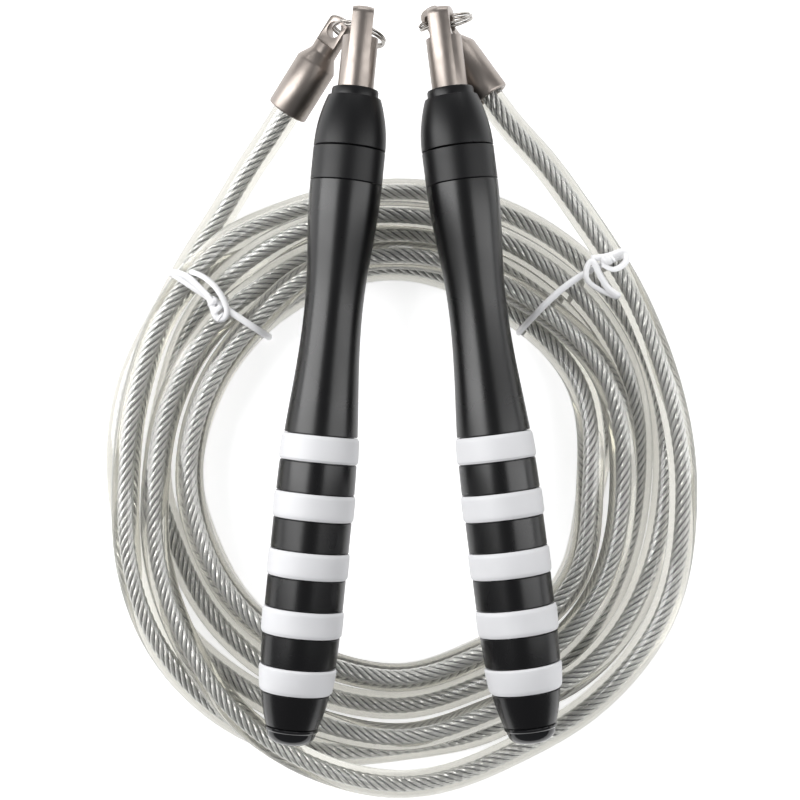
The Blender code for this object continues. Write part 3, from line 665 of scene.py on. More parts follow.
@dataclass(frozen=True)
class EndPlan:
    """How one end of the rope and its hardware stand, in degrees and metres.

    Attributes:
        side: which end this is.
        tang_roll: turn of the spindle's tang about its axis.
        ring_yaw: lean of the split ring's plane from +X towards +Y.
        ring_lean: how far the ring's underside stands towards +Y.
        ring_turn: where the tang sits on the ring, from its top.
        ring_sag: how far the ring has rolled about the line from the tang's hole to the ferrule's eye.
        ferrule_yaw: lean of the ferrule's tip from +Y towards -X.
        ferrule_pitch: how far the ferrule's tip points up.
        tail_route: points that the free rope passes between the ferrule and the coil.
    """

    side: Side
    tang_roll: float
    ring_yaw: float
    ring_lean: float
    ring_turn: float
    ring_sag: float
    ferrule_yaw: float
    ferrule_pitch: float
    tail_route: tuple[tuple[float, float, float], ...]

    def named(self, part: str) -> str:
        """Return the CAD's name for this side's part."""
        return f"{self.side.value}_{part}"

    def handle_frame(self) -> Matrix:
        """Find the frame at the lip of the handle's nose, Z out along the spindle.

        Returns:
            Its matrix.
        """
        spin = joint(self.named("handle_spin"))
        axis = Vector(spin["axis"])
        return placed(Vector(spin["pos_m"]), axis.cross(UP), axis)

    def spindle_frame(self) -> Matrix:
        """Return the handle's frame turned to the tang's flats."""
        return self.handle_frame() @ Matrix.Rotation(math.radians(-self.tang_roll), 4, "Z")

    def ring_frame(self, radius: float, rise: float) -> Matrix:
        """Return the frame at the split ring's centre, Z along its axis.

        Args:
            radius: the ring's mean radius.
            rise: how far the wire passes above the tang hole's axis.

        Returns:
            The frame as a matrix.
        """
        level = heading(90.0 - self.ring_yaw)
        lean = math.radians(self.ring_lean)
        up = math.cos(lean) * UP - math.sin(lean) * UP.cross(level)
        turn = math.radians(90.0 + self.ring_turn)
        hole = Vector(joint(self.named("spindle_lift"))["pos_m"])
        centre = hole + UP * rise - radius * (math.cos(turn) * level + math.sin(turn) * up)
        eye = Vector(joint(self.named("ring_swing"))["pos_m"])
        roll = Matrix.Rotation(math.radians(self.ring_sag), 4, eye - hole)
        rolled = Matrix.Translation(hole) @ roll @ Matrix.Translation(-hole)
        return rolled @ placed(centre, level, level.cross(up))

    def ferrule_frame(self) -> Matrix:
        """Find the frame at the ferrule's eye, Z from its mouth to its tip.

        Returns:
            Its matrix.
        """
        swing = joint(self.named("ring_swing"))
        pitch = math.radians(self.ferrule_pitch)
        axis = math.cos(pitch) * heading(-self.ferrule_yaw) + math.sin(pitch) * UP
        return placed(Vector(swing["pos_m"]), -Vector(swing["axis"]), axis)


LEFT_END = EndPlan(Side.LEFT, -3.0, -9.0, 0.0, -6.0, 11.0, -34.0, 14.0,
                   ((-0.0478, 0.1792, 0.0080), (-0.0557, 0.1664, 0.0063), (-0.0608, 0.1580, 0.0056)))
RIGHT_END = EndPlan(Side.RIGHT, 15.0, 14.0, 20.0, 14.0, 0.0, 35.5, -3.0,
                    ((0.0459, 0.1784, 0.0170), (0.0555, 0.1657, 0.0152), (0.0608, 0.1582, 0.0143)))


# Rope

@dataclass
class CoilPlan:
    """Where each lap of the rope lies, by its bearing round the coil's centre.

    Attributes:
        centre: the coil's centre on the floor.
        rope: the rope's diameter.
        bearings: bearings at which each lap's place is given, in degrees from +X.
        laps: for each lap, its radius and height in millimetres at each bearing.
        ties: bearings of the ties, which the rope rides over.
        tie_lift: how far a tie lifts the rope.
        ceiling: the greatest height of a strand's centre, under the handles.
        crossing_rise: how much higher the laps may ride where they change places, by the left tie.
        step: bearing between the points worked out, in degrees.
        first: bearing where the rope joins the coil.
        last: bearing where it leaves, counted on from lap to lap.
        start: radius and height where it joins, in millimetres.
        end: radius and height where it leaves, in millimetres.
        crowding: distance kept between laps, in rope diameters.
        rounds: how many times the laps push each other.
    """

    centre: tuple[float, float] = (0.0, 0.076)
    rope: float = 0.009
    bearings: tuple[float, ...] = (
        140, 160, 180, 195, 215, 235, 252, 270, 296, 311, 330, 360, 390, 422, 450, 472)
    laps: tuple[tuple[tuple[float, float], ...], ...] = (
        ((95.6, 4.6), (93.2, 4.5), (90.6, 4.5), (89.0, 4.5), (86.0, 4.5), (82.0, 7.0), (80.0, 11.5),
         (79.9, 12.8), (77.5, 13.0), (82.0, 13.0), (85.0, 9.0), (86.0, 4.5), (89.5, 4.5), (93.0, 4.5),
         (93.5, 4.5), (92.0, 5.0)),
        ((91.0, 13.8), (87.6, 13.4), (86.2, 12.8), (88.0, 13.0), (91.0, 9.5), (92.0, 4.5), (89.5, 4.5),
         (84.5, 4.5), (83.5, 4.5), (80.5, 4.5), (78.0, 4.5), (77.0, 4.5), (81.5, 7.5), (84.0, 10.0),
         (86.2, 11.5), (87.5, 12.6)),
        ((85.0, 6.8), (80.0, 4.8), (78.2, 4.5), (74.8, 4.5), (73.5, 4.5), (72.3, 4.5), (71.5, 4.5),
         (71.0, 4.5), (68.5, 8.0), (71.0, 11.5), (72.0, 12.0), (71.8, 12.0), (75.5, 13.3), (73.8, 12.6),
         (75.1, 12.9), (75.3, 12.9)),
        ((71.0, 14.8), (69.2, 13.6), (67.5, 13.5), (65.6, 13.4), (63.8, 13.2), (61.8, 12.8), (60.8, 12.6),
         (60.8, 13.0), (58.8, 13.2), (60.5, 13.3), (62.8, 13.4), (61.2, 13.4), (67.8, 8.5), (68.0, 4.5),
         (71.8, 4.5), (72.0, 4.5)),
        ((70.0, 6.2), (69.0, 4.5), (68.2, 4.5), (65.6, 4.5), (64.3, 4.5), (63.0, 4.5), (62.0, 4.5),
         (62.0, 4.5), (59.5, 4.5), (61.0, 4.5), (62.5, 4.5), (61.7, 4.5), (74.5, 4.5), (77.0, 4.5),
         (82.4, 4.5), (80.4, 4.5)),
        ((79.0, 17.0), (78.6, 14.0), (78.4, 13.6), (80.8, 13.2), (84.5, 12.5), (89.3, 13.3), (92.5, 12.5),
         (95.5, 8.0), (92.0, 6.5), (92.3, 7.0), (91.5, 10.0), (89.2, 12.8), (92.8, 13.4)),
    )
    ties: tuple[float, float] = (134.0, 48.0)
    tie_lift: float = 0.0019
    ceiling: float = 0.0136
    crossing_rise: float = 0.003
    step: float = 3.0
    first: float = 132.0
    last: float = 2202.0
    start: tuple[float, float] = (100.2, 5.3)
    end: tuple[float, float] = (97.6, 13.6)
    crowding: float = 1.012
    rounds: int = 900

    def lift(self, bearings: np.ndarray) -> np.ndarray:
        """Find how far the ties under the rope lift it at each bearing.

        Args:
            bearings: the bearings, in degrees.

        Returns:
            The lift at each.
        """
        total = np.zeros_like(bearings)
        for tie in self.ties:
            away = (bearings - tie + 180.0) % 360.0 - 180.0
            total += self.tie_lift * np.exp(-(away / 6.0) ** 2)
        return total

    def planned(self) -> tuple[np.ndarray, np.ndarray]:
        """Read the plan at every step.

        Returns:
            The bearings, which run on from lap to lap, and the radius and height at each.
        """
        knots = [bearing + 360.0 * lap for lap, row in enumerate(self.laps)
                 for bearing, _ in zip(self.bearings, row)]
        values = [place for row in self.laps for place in row]
        knots = np.array([self.first - 2.0, *knots, self.last + 2.0])
        values = np.array([self.start, *values, self.end]) * MM
        places = np.arange(self.first, self.last + 0.5 * self.step, self.step)
        return places, eased(knots, values, places)

    def settled(self) -> np.ndarray:
        """Push laps that would touch apart, as rope that can't pass through itself.

        Returns:
            The coil's centre line, points as rows.
        """
        bearings, plan = self.planned()
        floor = self.rope / 2 + self.lift(bearings)
        around = (bearings - self.ties[0] + 180.0) % 360.0 - 180.0
        ceiling = self.ceiling + self.lift(bearings) + self.crossing_rise * np.exp(-(around / 18.0) ** 2)
        per_lap = round(360.0 / self.step)
        apart = self.rope * self.crowding
        count = np.arange(len(bearings))
        held = np.clip(np.minimum(count, count[::-1]) / 4.0, 0.0, 1.0)[:, None]
        shift = np.zeros_like(plan)
        for _ in range(self.rounds):
            places = plan + shift
            push = np.zeros_like(plan)
            for laps in range(1, len(self.laps)):
                hop = laps * per_lap
                if hop >= len(places):
                    break
                between = places[hop:] - places[:-hop]
                distance = np.maximum(np.linalg.norm(between, axis=1), 1e-6)
                overlap = np.maximum(apart - distance, 0.0) / distance
                push[hop:] += 0.35 * between * overlap[:, None]
                push[:-hop] -= 0.35 * between * overlap[:, None]
            shift = shift * 0.999 + push
            shift[1:-1] += 0.12 * (shift[:-2] + shift[2:] - 2 * shift[1:-1])
            shift *= held
            height = np.clip(plan[:, 1] + shift[:, 1], floor, ceiling)
            shift[:, 1] = height - plan[:, 1]
        radius, height = (plan + shift).T
        turn = np.radians(bearings)
        across, along = radius * np.cos(turn), radius * np.sin(turn)
        return np.stack((self.centre[0] + across, self.centre[1] + along, height), axis=1)

    def section(self, line: np.ndarray, inner: np.ndarray, outward: np.ndarray) -> np.ndarray:
        """Cut a line by the upright plane that a tie lies in.

        Args:
            line: the rope's centre line, points as rows.
            inner: a point of the plane near the coil's inner edge.
            outward: the level unit direction from there to the coil's outer edge.

        Returns:
            Distance outward and height of each place where the line crosses the plane.
        """
        offset = line[:, :2] - inner
        along = offset @ outward
        aside = offset @ np.array((-outward[1], outward[0]))
        near = (along[:-1] > -0.02) & (along[:-1] < 0.06)
        crossing = np.nonzero((aside[:-1] * aside[1:] <= 0.0) & near)[0]
        return np.stack((along[crossing], line[crossing, 2]), axis=1)


@dataclass
class Rope:
    """The clear-sheathed wire rope, from one ferrule through the coil to the other.

    Attributes:
        coil: the coil's plan.
        diameter: the sheath's diameter.
        bore_depth: how deep the rope goes into each ferrule.
        mouth: distance from a ferrule's eye back to its mouth.
        core_diameter: the wire rope's diameter.
        lay_length: length of one turn of its strands.
        lay: which way the strands turn.
        strands: strands round the middle one.
        line: the centre line, once it is routed.
    """

    coil: CoilPlan
    diameter: float = 0.009
    bore_depth: float = 0.0117
    mouth: float = 0.0300
    core_diameter: float = 0.0034
    lay_length: float = 0.0175
    lay: Lay = Lay.RIGHT_HAND
    strands: int = 6
    line: Optional[np.ndarray] = None

    def tail(self, plan: EndPlan) -> np.ndarray:
        """Route one free end, from inside the ferrule towards the coil.

        Args:
            plan: the end to route.

        Returns:
            The knots as rows.
        """
        place = plan.ferrule_frame()
        inside = place @ Vector((0.0, 0.0, -self.mouth + self.bore_depth))
        lip = place @ Vector((0.0, 0.0, -self.mouth))
        outside = place @ Vector((0.0, 0.0, -self.mouth - self.diameter))
        return np.array([inside, lip, outside, *plan.tail_route[:-1]])

    def route(self) -> np.ndarray:
        """Route the whole centre line, with its points evenly spaced.

        Returns:
            The points as rows.
        """
        coil = self.coil.settled()
        knots = np.concatenate((self.tail(LEFT_END), coil, self.tail(RIGHT_END)[::-1]))
        self.line = respaced(softened(respaced(knots, 0.003), 3), 0.003)
        return self.line

    def sheath(self) -> bpy.types.Object:
        """Build the clear sheath.

        Returns:
            The piece.
        """
        rings = tube_rings(self.line, self.diameter / 2, 32)
        piece = new_piece("rope_sheath", grid_mesh("rope_sheath", rings, rows=run_lengths(self.line)))
        CLEAR_SHEATH.put_on(piece)
        return piece

    def core(self) -> bpy.types.Object:
        """Build the wire rope's strands as one piece.

        Returns:
            The piece.
        """
        line = respaced(self.line, self.lay_length / 18)
        across, above = frames_along(line)
        run = run_lengths(line)
        strand_radius = self.core_diameter / 6
        helix = self.core_diameter / 2 - strand_radius
        rings = [tube_rings(line, strand_radius, 8)]
        for strand in range(self.strands):
            turn = self.lay.value * 2 * math.pi * run / self.lay_length + 2 * math.pi * strand / self.strands
            outward = np.cos(turn)[:, None] * across + np.sin(turn)[:, None] * above
            rings.append(tube_rings(line + helix * outward, strand_radius, 10, outward))
        pieces = [new_piece(f"strand_{i}", grid_mesh(f"strand_{i}", ring, rows=run))
                  for i, ring in enumerate(rings)]
        core = pieces[0]
        with bpy.context.temp_override(active_object=core, selected_editable_objects=pieces, object=core):
            bpy.ops.object.join()
        core.name = "rope_wire_core"
        core.data.name = "rope_wire_core"
        WIRE_STRANDS.put_on(core)
        return core

    def build(self) -> tuple[bpy.types.Object, bpy.types.Object]:
        """Build the rope and hang it on its body.

        Returns:
            The sheath and the wire core.
        """
        self.route()
        sheath, core = self.sheath(), self.core()
        for piece in (sheath, core):
            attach(piece, "rope")
        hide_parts("rope_coil", "left_rope_tail", "right_rope_tail")
        LOG.info("rope: %.3f m of sheath and its wire core", run_lengths(self.line)[-1])
        return sheath, core


@dataclass
class TwistTie:
    """A vinyl-coated wire tie round the coil, with its ends twisted and curled on top.

    Attributes:
        plan: the end that it is named for.
        inner: where it turns down at the coil's inner edge, on the floor.
        outer: where it turns down at the coil's outer edge, on the floor.
        ends: the runs of its free ends over the coil.
        knot: the twisted knot's first point, last point and radius.
        bow: how far the run over the coil bends sideways.
        width: the coating's width.
        thickness: the coating's thickness.
    """

    plan: EndPlan
    inner: tuple[float, float]
    outer: tuple[float, float]
    ends: tuple[tuple[tuple[float, float, float], ...], ...]
    knot: tuple[tuple[float, float, float], tuple[float, float, float], float]
    bow: float = 0.0
    width: float = 0.0021
    thickness: float = 0.0015

    def loop(self, rope: Rope) -> np.ndarray:
        """Return the closed run round the strands, a hair outside them.

        Args:
            rope: the rope that it holds.

        Returns:
            The loop's points as rows, its first point repeated at the end.
        """
        stand = rope.diameter / 2 + self.thickness / 2 + 0.0001
        inner = np.array(self.inner)
        outward = np.array(self.outer) - inner
        outward /= np.linalg.norm(outward)
        turn = np.linspace(0.0, 2 * math.pi, 48, endpoint=False)
        cloud = [tuple(centre + stand * np.array((math.cos(t), math.sin(t))))
                 for centre in rope.coil.section(rope.line, inner, outward) for t in turn]
        outline = np.array(hull(cloud))
        outline[:, 1] = np.maximum(outline[:, 1], self.thickness / 2)
        outline = np.concatenate((outline, outline[:1]))
        outline = respaced(outline, 0.0015)
        outline = softened(outline, 4)
        share = (outline[:, :1] - outline[:, 0].min()) / np.ptp(outline[:, 0])
        aside = self.bow * np.sin(math.pi * share) * (outline[:, 1:] > rope.diameter)
        place = inner + outline[:, :1] * outward + aside * np.array((-outward[1], outward[0]))
        return softened(np.concatenate((place, outline[:, 1:]), axis=1), 3)

    def twist(self) -> np.ndarray:
        """Wind the run that the knot's wire takes round its own core.

        Returns:
            Its points as rows.
        """
        start, end, radius = np.array(self.knot[0]), np.array(self.knot[1]), self.knot[2]
        share = np.linspace(0.0, 1.0, 60)[:, None]
        line = start + share * (end - start)
        across, above = frames_along(line)
        turn = 2 * math.pi * 3.0 * share
        swell = radius * np.sin(math.pi * (0.12 + 0.76 * share))
        return line + swell * (np.cos(turn) * across + np.sin(turn) * above)

    def run(self, name: str, line: np.ndarray) -> bpy.types.Object:
        """Skin one run of the tie: an oval coating with the wire's ridge along it.

        Args:
            name: the piece's name.
            line: the run's points as rows.

        Returns:
            The piece.
        """
        across, above = frames_along(line)
        turn = np.linspace(0.0, 2 * math.pi, 20, endpoint=False)
        half_wide, half_thick = self.width / 2, self.thickness / 2
        x = half_wide * np.cos(turn)
        y = half_thick * (0.62 * np.sin(turn) + 0.38 * np.sign(np.sin(turn)) * np.abs(np.sin(turn)) ** 6)
        rings = line[:, None] + x[None, :, None] * across[:, None] + y[None, :, None] * above[:, None]
        piece = new_piece(name, grid_mesh(name, rings, rows=run_lengths(line)))
        TIE_VINYL.put_on(piece)
        return piece

    def build(self, rope: Rope) -> list[bpy.types.Object]:
        """Build the tie and hang it on the rope.

        Args:
            rope: the rope that it holds.

        Returns:
            Its pieces.
        """
        name = self.plan.named("tie")
        pieces = [self.run(name + "_loop", self.loop(rope))]
        for number, knots in enumerate(self.ends, start=1):
            line = respaced(softened(respaced(np.array(knots), 0.0008), 6), 0.0008)
            pieces.append(self.run(f"{name}_end_{number}", line))
        pieces.append(self.run(name + "_knot", self.twist()))
        for piece in pieces:
            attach(piece, "rope")
        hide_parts(self.plan.named("twist_tie"))
        LOG.info("%s: loop and %d ends", name, len(self.ends))
        return pieces


def hull(points: Sequence[tuple[float, float]]) -> list[tuple[float, float]]:
    """Find the convex outline of points in a plane, anticlockwise.

    Args:
        points: the points, in any order.

    Returns:
        The outline's corners.
    """
    ordered = sorted(set(points))
    sides: list[list[tuple[float, float]]] = []
    for sequence in (ordered, ordered[::-1]):
        side: list[tuple[float, float]] = []
        for point in sequence:
            while len(side) > 1 and ((side[-1][0] - side[-2][0]) * (point[1] - side[-2][1])
                                     - (side[-1][1] - side[-2][1]) * (point[0] - side[-2][0])) <= 0.0:
                side.pop()
            side.append(point)
        sides.append(side[:-1])
    return sides[0] + sides[1]


@dataclass
class Ferrule:
    """The swaged stainless end fitting: bored barrel, conical shoulder, flat neck with an eye.

    Attributes:
        plan: the end that it belongs to.
        radius: the barrel's radius.
        bore: radius of the rope's bore.
        barrel: length of the barrel.
        bore_depth: depth of the bore.
        shoulder: length of the cone between barrel and neck.
        neck_radius: the neck's radius.
        length: from mouth to tip.
        flat_thickness: thickness across the two flats.
        flat_length: how far the flats run back from the tip.
        eye_radius: the eye's radius.
        eye_setback: distance from the tip to the eye.
    """

    plan: EndPlan
    radius: float = 0.0066
    bore: float = 0.0048
    barrel: float = 0.0178
    bore_depth: float = 0.012
    shoulder: float = 0.0036
    neck_radius: float = 0.0042
    length: float = 0.0346
    flat_thickness: float = 0.0038
    flat_length: float = 0.0098
    eye_radius: float = 0.0026
    eye_setback: float = 0.0046

    def profile(self) -> list[tuple[float, float]]:
        """Draw the outline from the tip's axis round to the bore's floor.

        Returns:
            (radius, height) points.
        """
        tip, mouth = self.eye_setback, self.eye_setback - self.length
        barrel_end = mouth + self.barrel
        neck = barrel_end + self.shoulder
        floor = mouth + self.bore_depth
        crown = [(self.neck_radius * math.sin(t), tip - 0.0021 * (1 - math.cos(t)) ** 0.9)
                 for t in np.linspace(0.0, math.pi / 2, 9)]
        outer = [*crown, (self.neck_radius, neck + 0.0006), (self.neck_radius + 0.0002, neck),
                 (self.radius - 0.0004, barrel_end + 0.0006), (self.radius, barrel_end - 0.0002)]
        steps = [(self.radius, mouth + 0.0007), (self.radius - 0.0002, mouth + 0.0002),
                 (self.radius - 0.0007, mouth),
                 (self.bore + 0.0004, mouth), (self.bore, mouth + 0.0004), (self.bore, floor), (0.0, floor)]
        return outer + steps

    def build(self) -> bpy.types.Object:
        """Build the ferrule and hang it on the rope.

        Returns:
            The piece.
        """
        name = self.plan.named("end_ferrule")
        piece = turned(name, self.profile(), closed=False)
        reach = 4 * self.neck_radius
        height = self.eye_setback - self.flat_length + reach / 2
        tools = [block(name + "_flat", (reach, reach, reach),
                       (sign * (self.flat_thickness + reach) / 2, 0.0, height))
                 for sign in (-1, 1)]
        tools.append(bar(name + "_eye", self.eye_radius, reach, 0.0))
        cut(piece, tools, 0.00022)
        TURNED_STEEL.put_on(piece)
        piece.matrix_world = self.plan.ferrule_frame()
        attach(piece, "rope")
        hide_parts(self.plan.named("ferrule"))
        LOG.info("%s", name)
        return piece


# Handle

@dataclass
class SplitRing:
    """The two-turn split ring that links the ferrule's eye with the spindle's tang.

    Attributes:
        plan: the end that it belongs to.
        wire: the wire's radius.
        radius: mean radius of the turns.
        turn_gap: gap between the two turns.
        rise: how far the wire passes above the tang hole's axis.
        step_angle: where the wire steps from one turn to the other, in degrees.
        end_angle: how far from that step each end of the wire stops, in degrees.
    """

    plan: EndPlan
    wire: float = 0.00045
    radius: float = 0.00825
    turn_gap: float = 0.00015
    rise: float = 0.00045
    step_angle: float = 150.0
    end_angle: float = 25.0

    def build(self) -> bpy.types.Object:
        """Build the ring and hang it on its body.

        Returns:
            The piece.
        """
        offset = self.wire + self.turn_gap / 2
        turns = np.linspace(self.end_angle, 720.0 - self.end_angle, 200)
        step = np.clip((turns - 360.0) / self.end_angle, -1.0, 1.0)
        side = np.sin(np.radians(90.0) * step) * offset
        angle = np.radians(turns + self.step_angle)
        line = np.stack((self.radius * np.cos(angle), self.radius * np.sin(angle), side), axis=1)
        rings = tube_rings(line, self.wire, 16)
        for end, inner in ((0, 1), (-1, -2)):
            rings[end] = line[end] + (rings[end] - line[end]) * 0.7
            rings[inner] = line[inner] + (rings[inner] - line[inner]) * 0.97
        name = self.plan.named("split_ring_wire")
        piece = new_piece(name, grid_mesh(name, rings, rows=run_lengths(line)))
        RING_STEEL.put_on(piece)
        piece.matrix_world = self.plan.ring_frame(self.radius, self.rise)
        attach(piece, self.plan.named("split_ring"))
        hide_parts(self.plan.named("key_ring"))
        LOG.info("%s", name)
        return piece


@dataclass
class Spindle:
    """The stainless spindle: a stepped shaft whose tip is milled to a drilled tang.

    Attributes:
        plan: the end that it belongs to.
        radius: the shaft's radius.
        exposed: how far it stands out of the nose.
        tip_height: height of the rounded tip.
        tip_flat: radius of the flat on the tip.
        journal: radius where the bearings sit.
        shoulder: depth of the step to the journal, behind the lip.
        end: depth of the inner end.
        tang_length: how far the tang's flats run back from the tip.
        tang_thickness: thickness across the flats.
        hole_radius: radius of the cross hole.
        hole_setback: distance from the tip to the hole.
    """

    plan: EndPlan
    radius: float = 0.0055
    exposed: float = 0.0250
    tip_height: float = 0.0024
    tip_flat: float = 0.0032
    journal: float = 0.0040
    shoulder: float = 0.0081
    end: float = 0.0343
    tang_length: float = 0.0092
    tang_thickness: float = 0.0066
    hole_radius: float = 0.0031
    hole_setback: float = 0.0058

    def profile(self) -> list[tuple[float, float]]:
        """Draw the outline from the tip's axis to the journal's end.

        Returns:
            (radius, height) points.
        """
        tip = []
        for t in np.linspace(math.pi / 2, 0.0, 9):
            radius = self.tip_flat + (self.radius - self.tip_flat) * math.cos(t)
            tip.append((radius, self.exposed - self.tip_height * (1 - math.sin(t))))
        crown = [(0.0, self.exposed + 0.0), (self.tip_flat * 0.6, self.exposed)]
        return [*crown, *tip, (self.radius, -self.shoulder), (self.journal, -self.shoulder),
                (self.journal, -self.end + 0.0004), (self.journal - 0.0004, -self.end), (0.0, -self.end)]

    def build(self) -> bpy.types.Object:
        """Build the spindle and hang it on the swivel.

        Returns:
            The piece.
        """
        name = self.plan.named("turned_spindle")
        piece = turned(name, self.profile(), closed=False)
        reach = 4 * self.radius
        height = self.exposed - self.tang_length + reach / 2
        tools = [block(name + "_flat", (reach, reach, reach),
                       (sign * (self.tang_thickness + reach) / 2, 0.0, height))
                 for sign in (-1, 1)]
        tools.append(bar(name + "_hole", self.hole_radius, reach, self.exposed - self.hole_setback))
        cut(piece, tools, 0.0002)
        TURNED_STEEL.put_on(piece)
        piece.matrix_world = self.plan.spindle_frame()
        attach(piece, self.plan.named("swivel"))
        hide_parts(self.plan.named("spindle"))
        LOG.info("%s", name)
        return piece


@dataclass
class Grip:
    """One handle: nose collar, bearing housing, waisted grip, five bands and an end plug.

    Stations are distances behind the lip.

    Attributes:
        plan: the end that it belongs to.
        gap: clearance between pieces that touch.
        length: from lip to butt.
        lip_radius: radius of the lip round the spindle.
        lip_length: length of the lip.
        collar_top: radius of the dome where it meets the lip.
        collar_length: from lip to the first seam.
        neck: radius at the seams.
        mouth: radius of the collar's front hole.
        barrel: radius of the housing's front, inside the collar.
        sleeve: length of the housing that shows.
        closed: how far the second seam is closed up.
        spigot: radius of the housing's rear, inside the grip.
        spigot_length: length of that rear.
        waist: station and radius of the grip's narrowest place.
        belly: station and radius of its widest place.
        taper: length over which the grip narrows to the butt.
        tail_radius: radius at the butt.
        bore: radius of the rear bore.
        cap: length of the plug that shows.
        band_count: how many bands there are.
        band_width: width of a band.
        band_pitch: distance from band to band.
        band_depth: depth of a band's groove.
        band_proud: how far a band stands out of the grip.
        band_setback: distance from the last band's middle to the butt.
    """

    plan: EndPlan
    gap: float = 0.0003
    length: float = 0.2025
    lip_radius: float = 0.0072
    lip_length: float = 0.0028
    collar_top: float = 0.0082
    collar_length: float = 0.0186
    neck: float = 0.0111
    mouth: float = 0.00585
    barrel: float = 0.0089
    sleeve: float = 0.0103
    closed: float = 0.00027
    spigot: float = 0.0096
    spigot_length: float = 0.0075
    waist: tuple[float, float] = (0.068, 0.0090)
    belly: tuple[float, float] = (0.125, 0.01212)
    taper: float = 0.047
    tail_radius: float = 0.0082
    bore: float = 0.0065
    cap: float = 0.0053
    band_count: int = 5
    band_width: float = 0.0080
    band_pitch: float = 0.0178
    band_depth: float = 0.0011
    band_proud: float = 0.0005
    band_setback: float = 0.0201

    @property
    def body_start(self) -> float:
        """Return the grip's front end, measured back from the lip."""
        return self.collar_length + self.gap + self.sleeve + self.gap - self.closed

    @property
    def body_end(self) -> float:
        """Return the grip's rear end, measured back from the lip."""
        return self.length - self.cap - self.gap

    def body_radius(self, station: float) -> float:
        """Return the grip's radius at a distance behind the lip.

        Args:
            station: distance behind the lip.

        Returns:
            The radius.
        """
        waist, waist_radius = self.waist
        belly, belly_radius = self.belly
        if station < waist:
            share = (station - self.body_start) / (waist - self.body_start)
            front = waist_radius + (self.neck - waist_radius) * (1 + math.cos(math.pi * share)) / 2
        else:
            share = min((station - waist) / (belly - waist), 1.0)
            front = waist_radius + (belly_radius - waist_radius) * (1 - math.cos(math.pi * share)) / 2
        share = max(station - (self.body_end - self.taper), 0.0) / self.taper
        return min(front, belly_radius - (belly_radius - self.tail_radius) * share ** 4)

    def stations(self) -> list[float]:
        """Return each band's middle, front band first."""
        last = self.length - self.band_setback
        return [last - (self.band_count - 1 - i) * self.band_pitch for i in range(self.band_count)]

    def body(self) -> bpy.types.Object:
        """Build the grip with a groove for each band.

        Returns:
            The piece.
        """
        half = self.band_width / 2 + self.gap
        ease = 0.00018
        outline: list[tuple[float, float]] = []
        start = self.body_start
        outline.append((self.neck - 0.00025, -start))
        start += 0.00025
        for middle in [*self.stations(), None]:
            stop = self.body_end if middle is None else middle - half - ease
            count = max(int((stop - start) / 0.0015), 2)
            for share in np.linspace(0.0, 1.0, count + 1):
                station = start + (stop - start) * share
                outline.append((self.body_radius(station), -station))
            if middle is None:
                break
            front, back = middle - half, middle + half
            outline += [(self.body_radius(front) - ease, -front),
                        (self.body_radius(front) - self.band_depth, -front),
                        (self.body_radius(back) - self.band_depth, -back),
                        (self.body_radius(back) - ease, -back)]
            start = back + ease
        seat, seat_end = self.spigot + self.gap, self.body_start + self.closed + self.spigot_length
        inside = [(self.bore, -self.body_end), (self.bore, -seat_end), (seat, -seat_end),
                  (seat, -self.body_start)]
        return turned(self.plan.named("grip_body"), outline + inside)

    def band(self, number: int, middle: float) -> bpy.types.Object:
        """Build one band: a ring with eased edges, a little crowned.

        Args:
            number: its number, front band first.
            middle: the station of its middle.

        Returns:
            The piece.
        """
        half = self.band_width / 2
        outer = []
        for share in np.linspace(0.0, 1.0, 13):
            station = middle - half + self.band_width * share
            proud = self.band_proud * (1 - abs(2 * share - 1) ** 12)
            outer.append((self.body_radius(station) + proud, -station))
        floor = self.band_depth - self.gap
        inner = [(self.body_radius(middle + half) - floor, -middle - half),
                 (self.body_radius(middle - half) - floor, -middle + half)]
        return turned(self.plan.named(f"band_{number}"), outer + inner)

    def collar(self) -> bpy.types.Object:
        """Build the domed nose collar with its lip.

        Returns:
            The piece.
        """
        skirt, skirt_front = self.barrel + self.gap, 0.0078
        dome = []
        for share in np.linspace(0.0, 1.0, 15):
            radius = self.neck - (self.neck - self.collar_top) * (1 - share) ** 2
            dome.append((radius, -self.lip_length - (self.collar_length - self.lip_length) * share))
        lip = [(self.lip_radius - 0.0007, 0.0), (self.lip_radius - 0.0002, -0.0002),
               (self.lip_radius, -0.0007),
               (self.lip_radius, -self.lip_length + 0.0002)]
        edge = [(self.neck - 0.0002, -self.collar_length)]
        inside = [(skirt, -self.collar_length), (skirt, -skirt_front), (self.mouth, -skirt_front),
                  (self.mouth, -0.0004), (self.mouth + 0.0004, 0.0)]
        return turned(self.plan.named("nose_cap"),
                      lip + dome[:-1] + [(self.neck, -self.collar_length + 0.0002)] + edge
                      + inside)

    def housing(self) -> bpy.types.Object:
        """Build the sleeve behind the collar, with the seats of both bearings.

        Returns:
            The piece.
        """
        start = self.collar_length + self.gap
        end = start + self.sleeve
        seat, web = 0.00815, 0.0069
        front, web_front, web_back, back = 0.0081, 0.0135, 0.0219, end + self.spigot_length
        profile = [(self.barrel, -front), (self.barrel, -start), (self.neck - 0.0002, -start),
                   (self.neck, -start - 0.0002),
                   (self.neck, -end + 0.0002), (self.neck - 0.0002, -end), (self.spigot, -end),
                   (self.spigot, -back),
                   (seat, -back), (seat, -web_back), (web, -web_back), (web, -web_front), (seat, -web_front),
                   (seat, -front)]
        return turned(self.plan.named("bearing_sleeve"), profile)

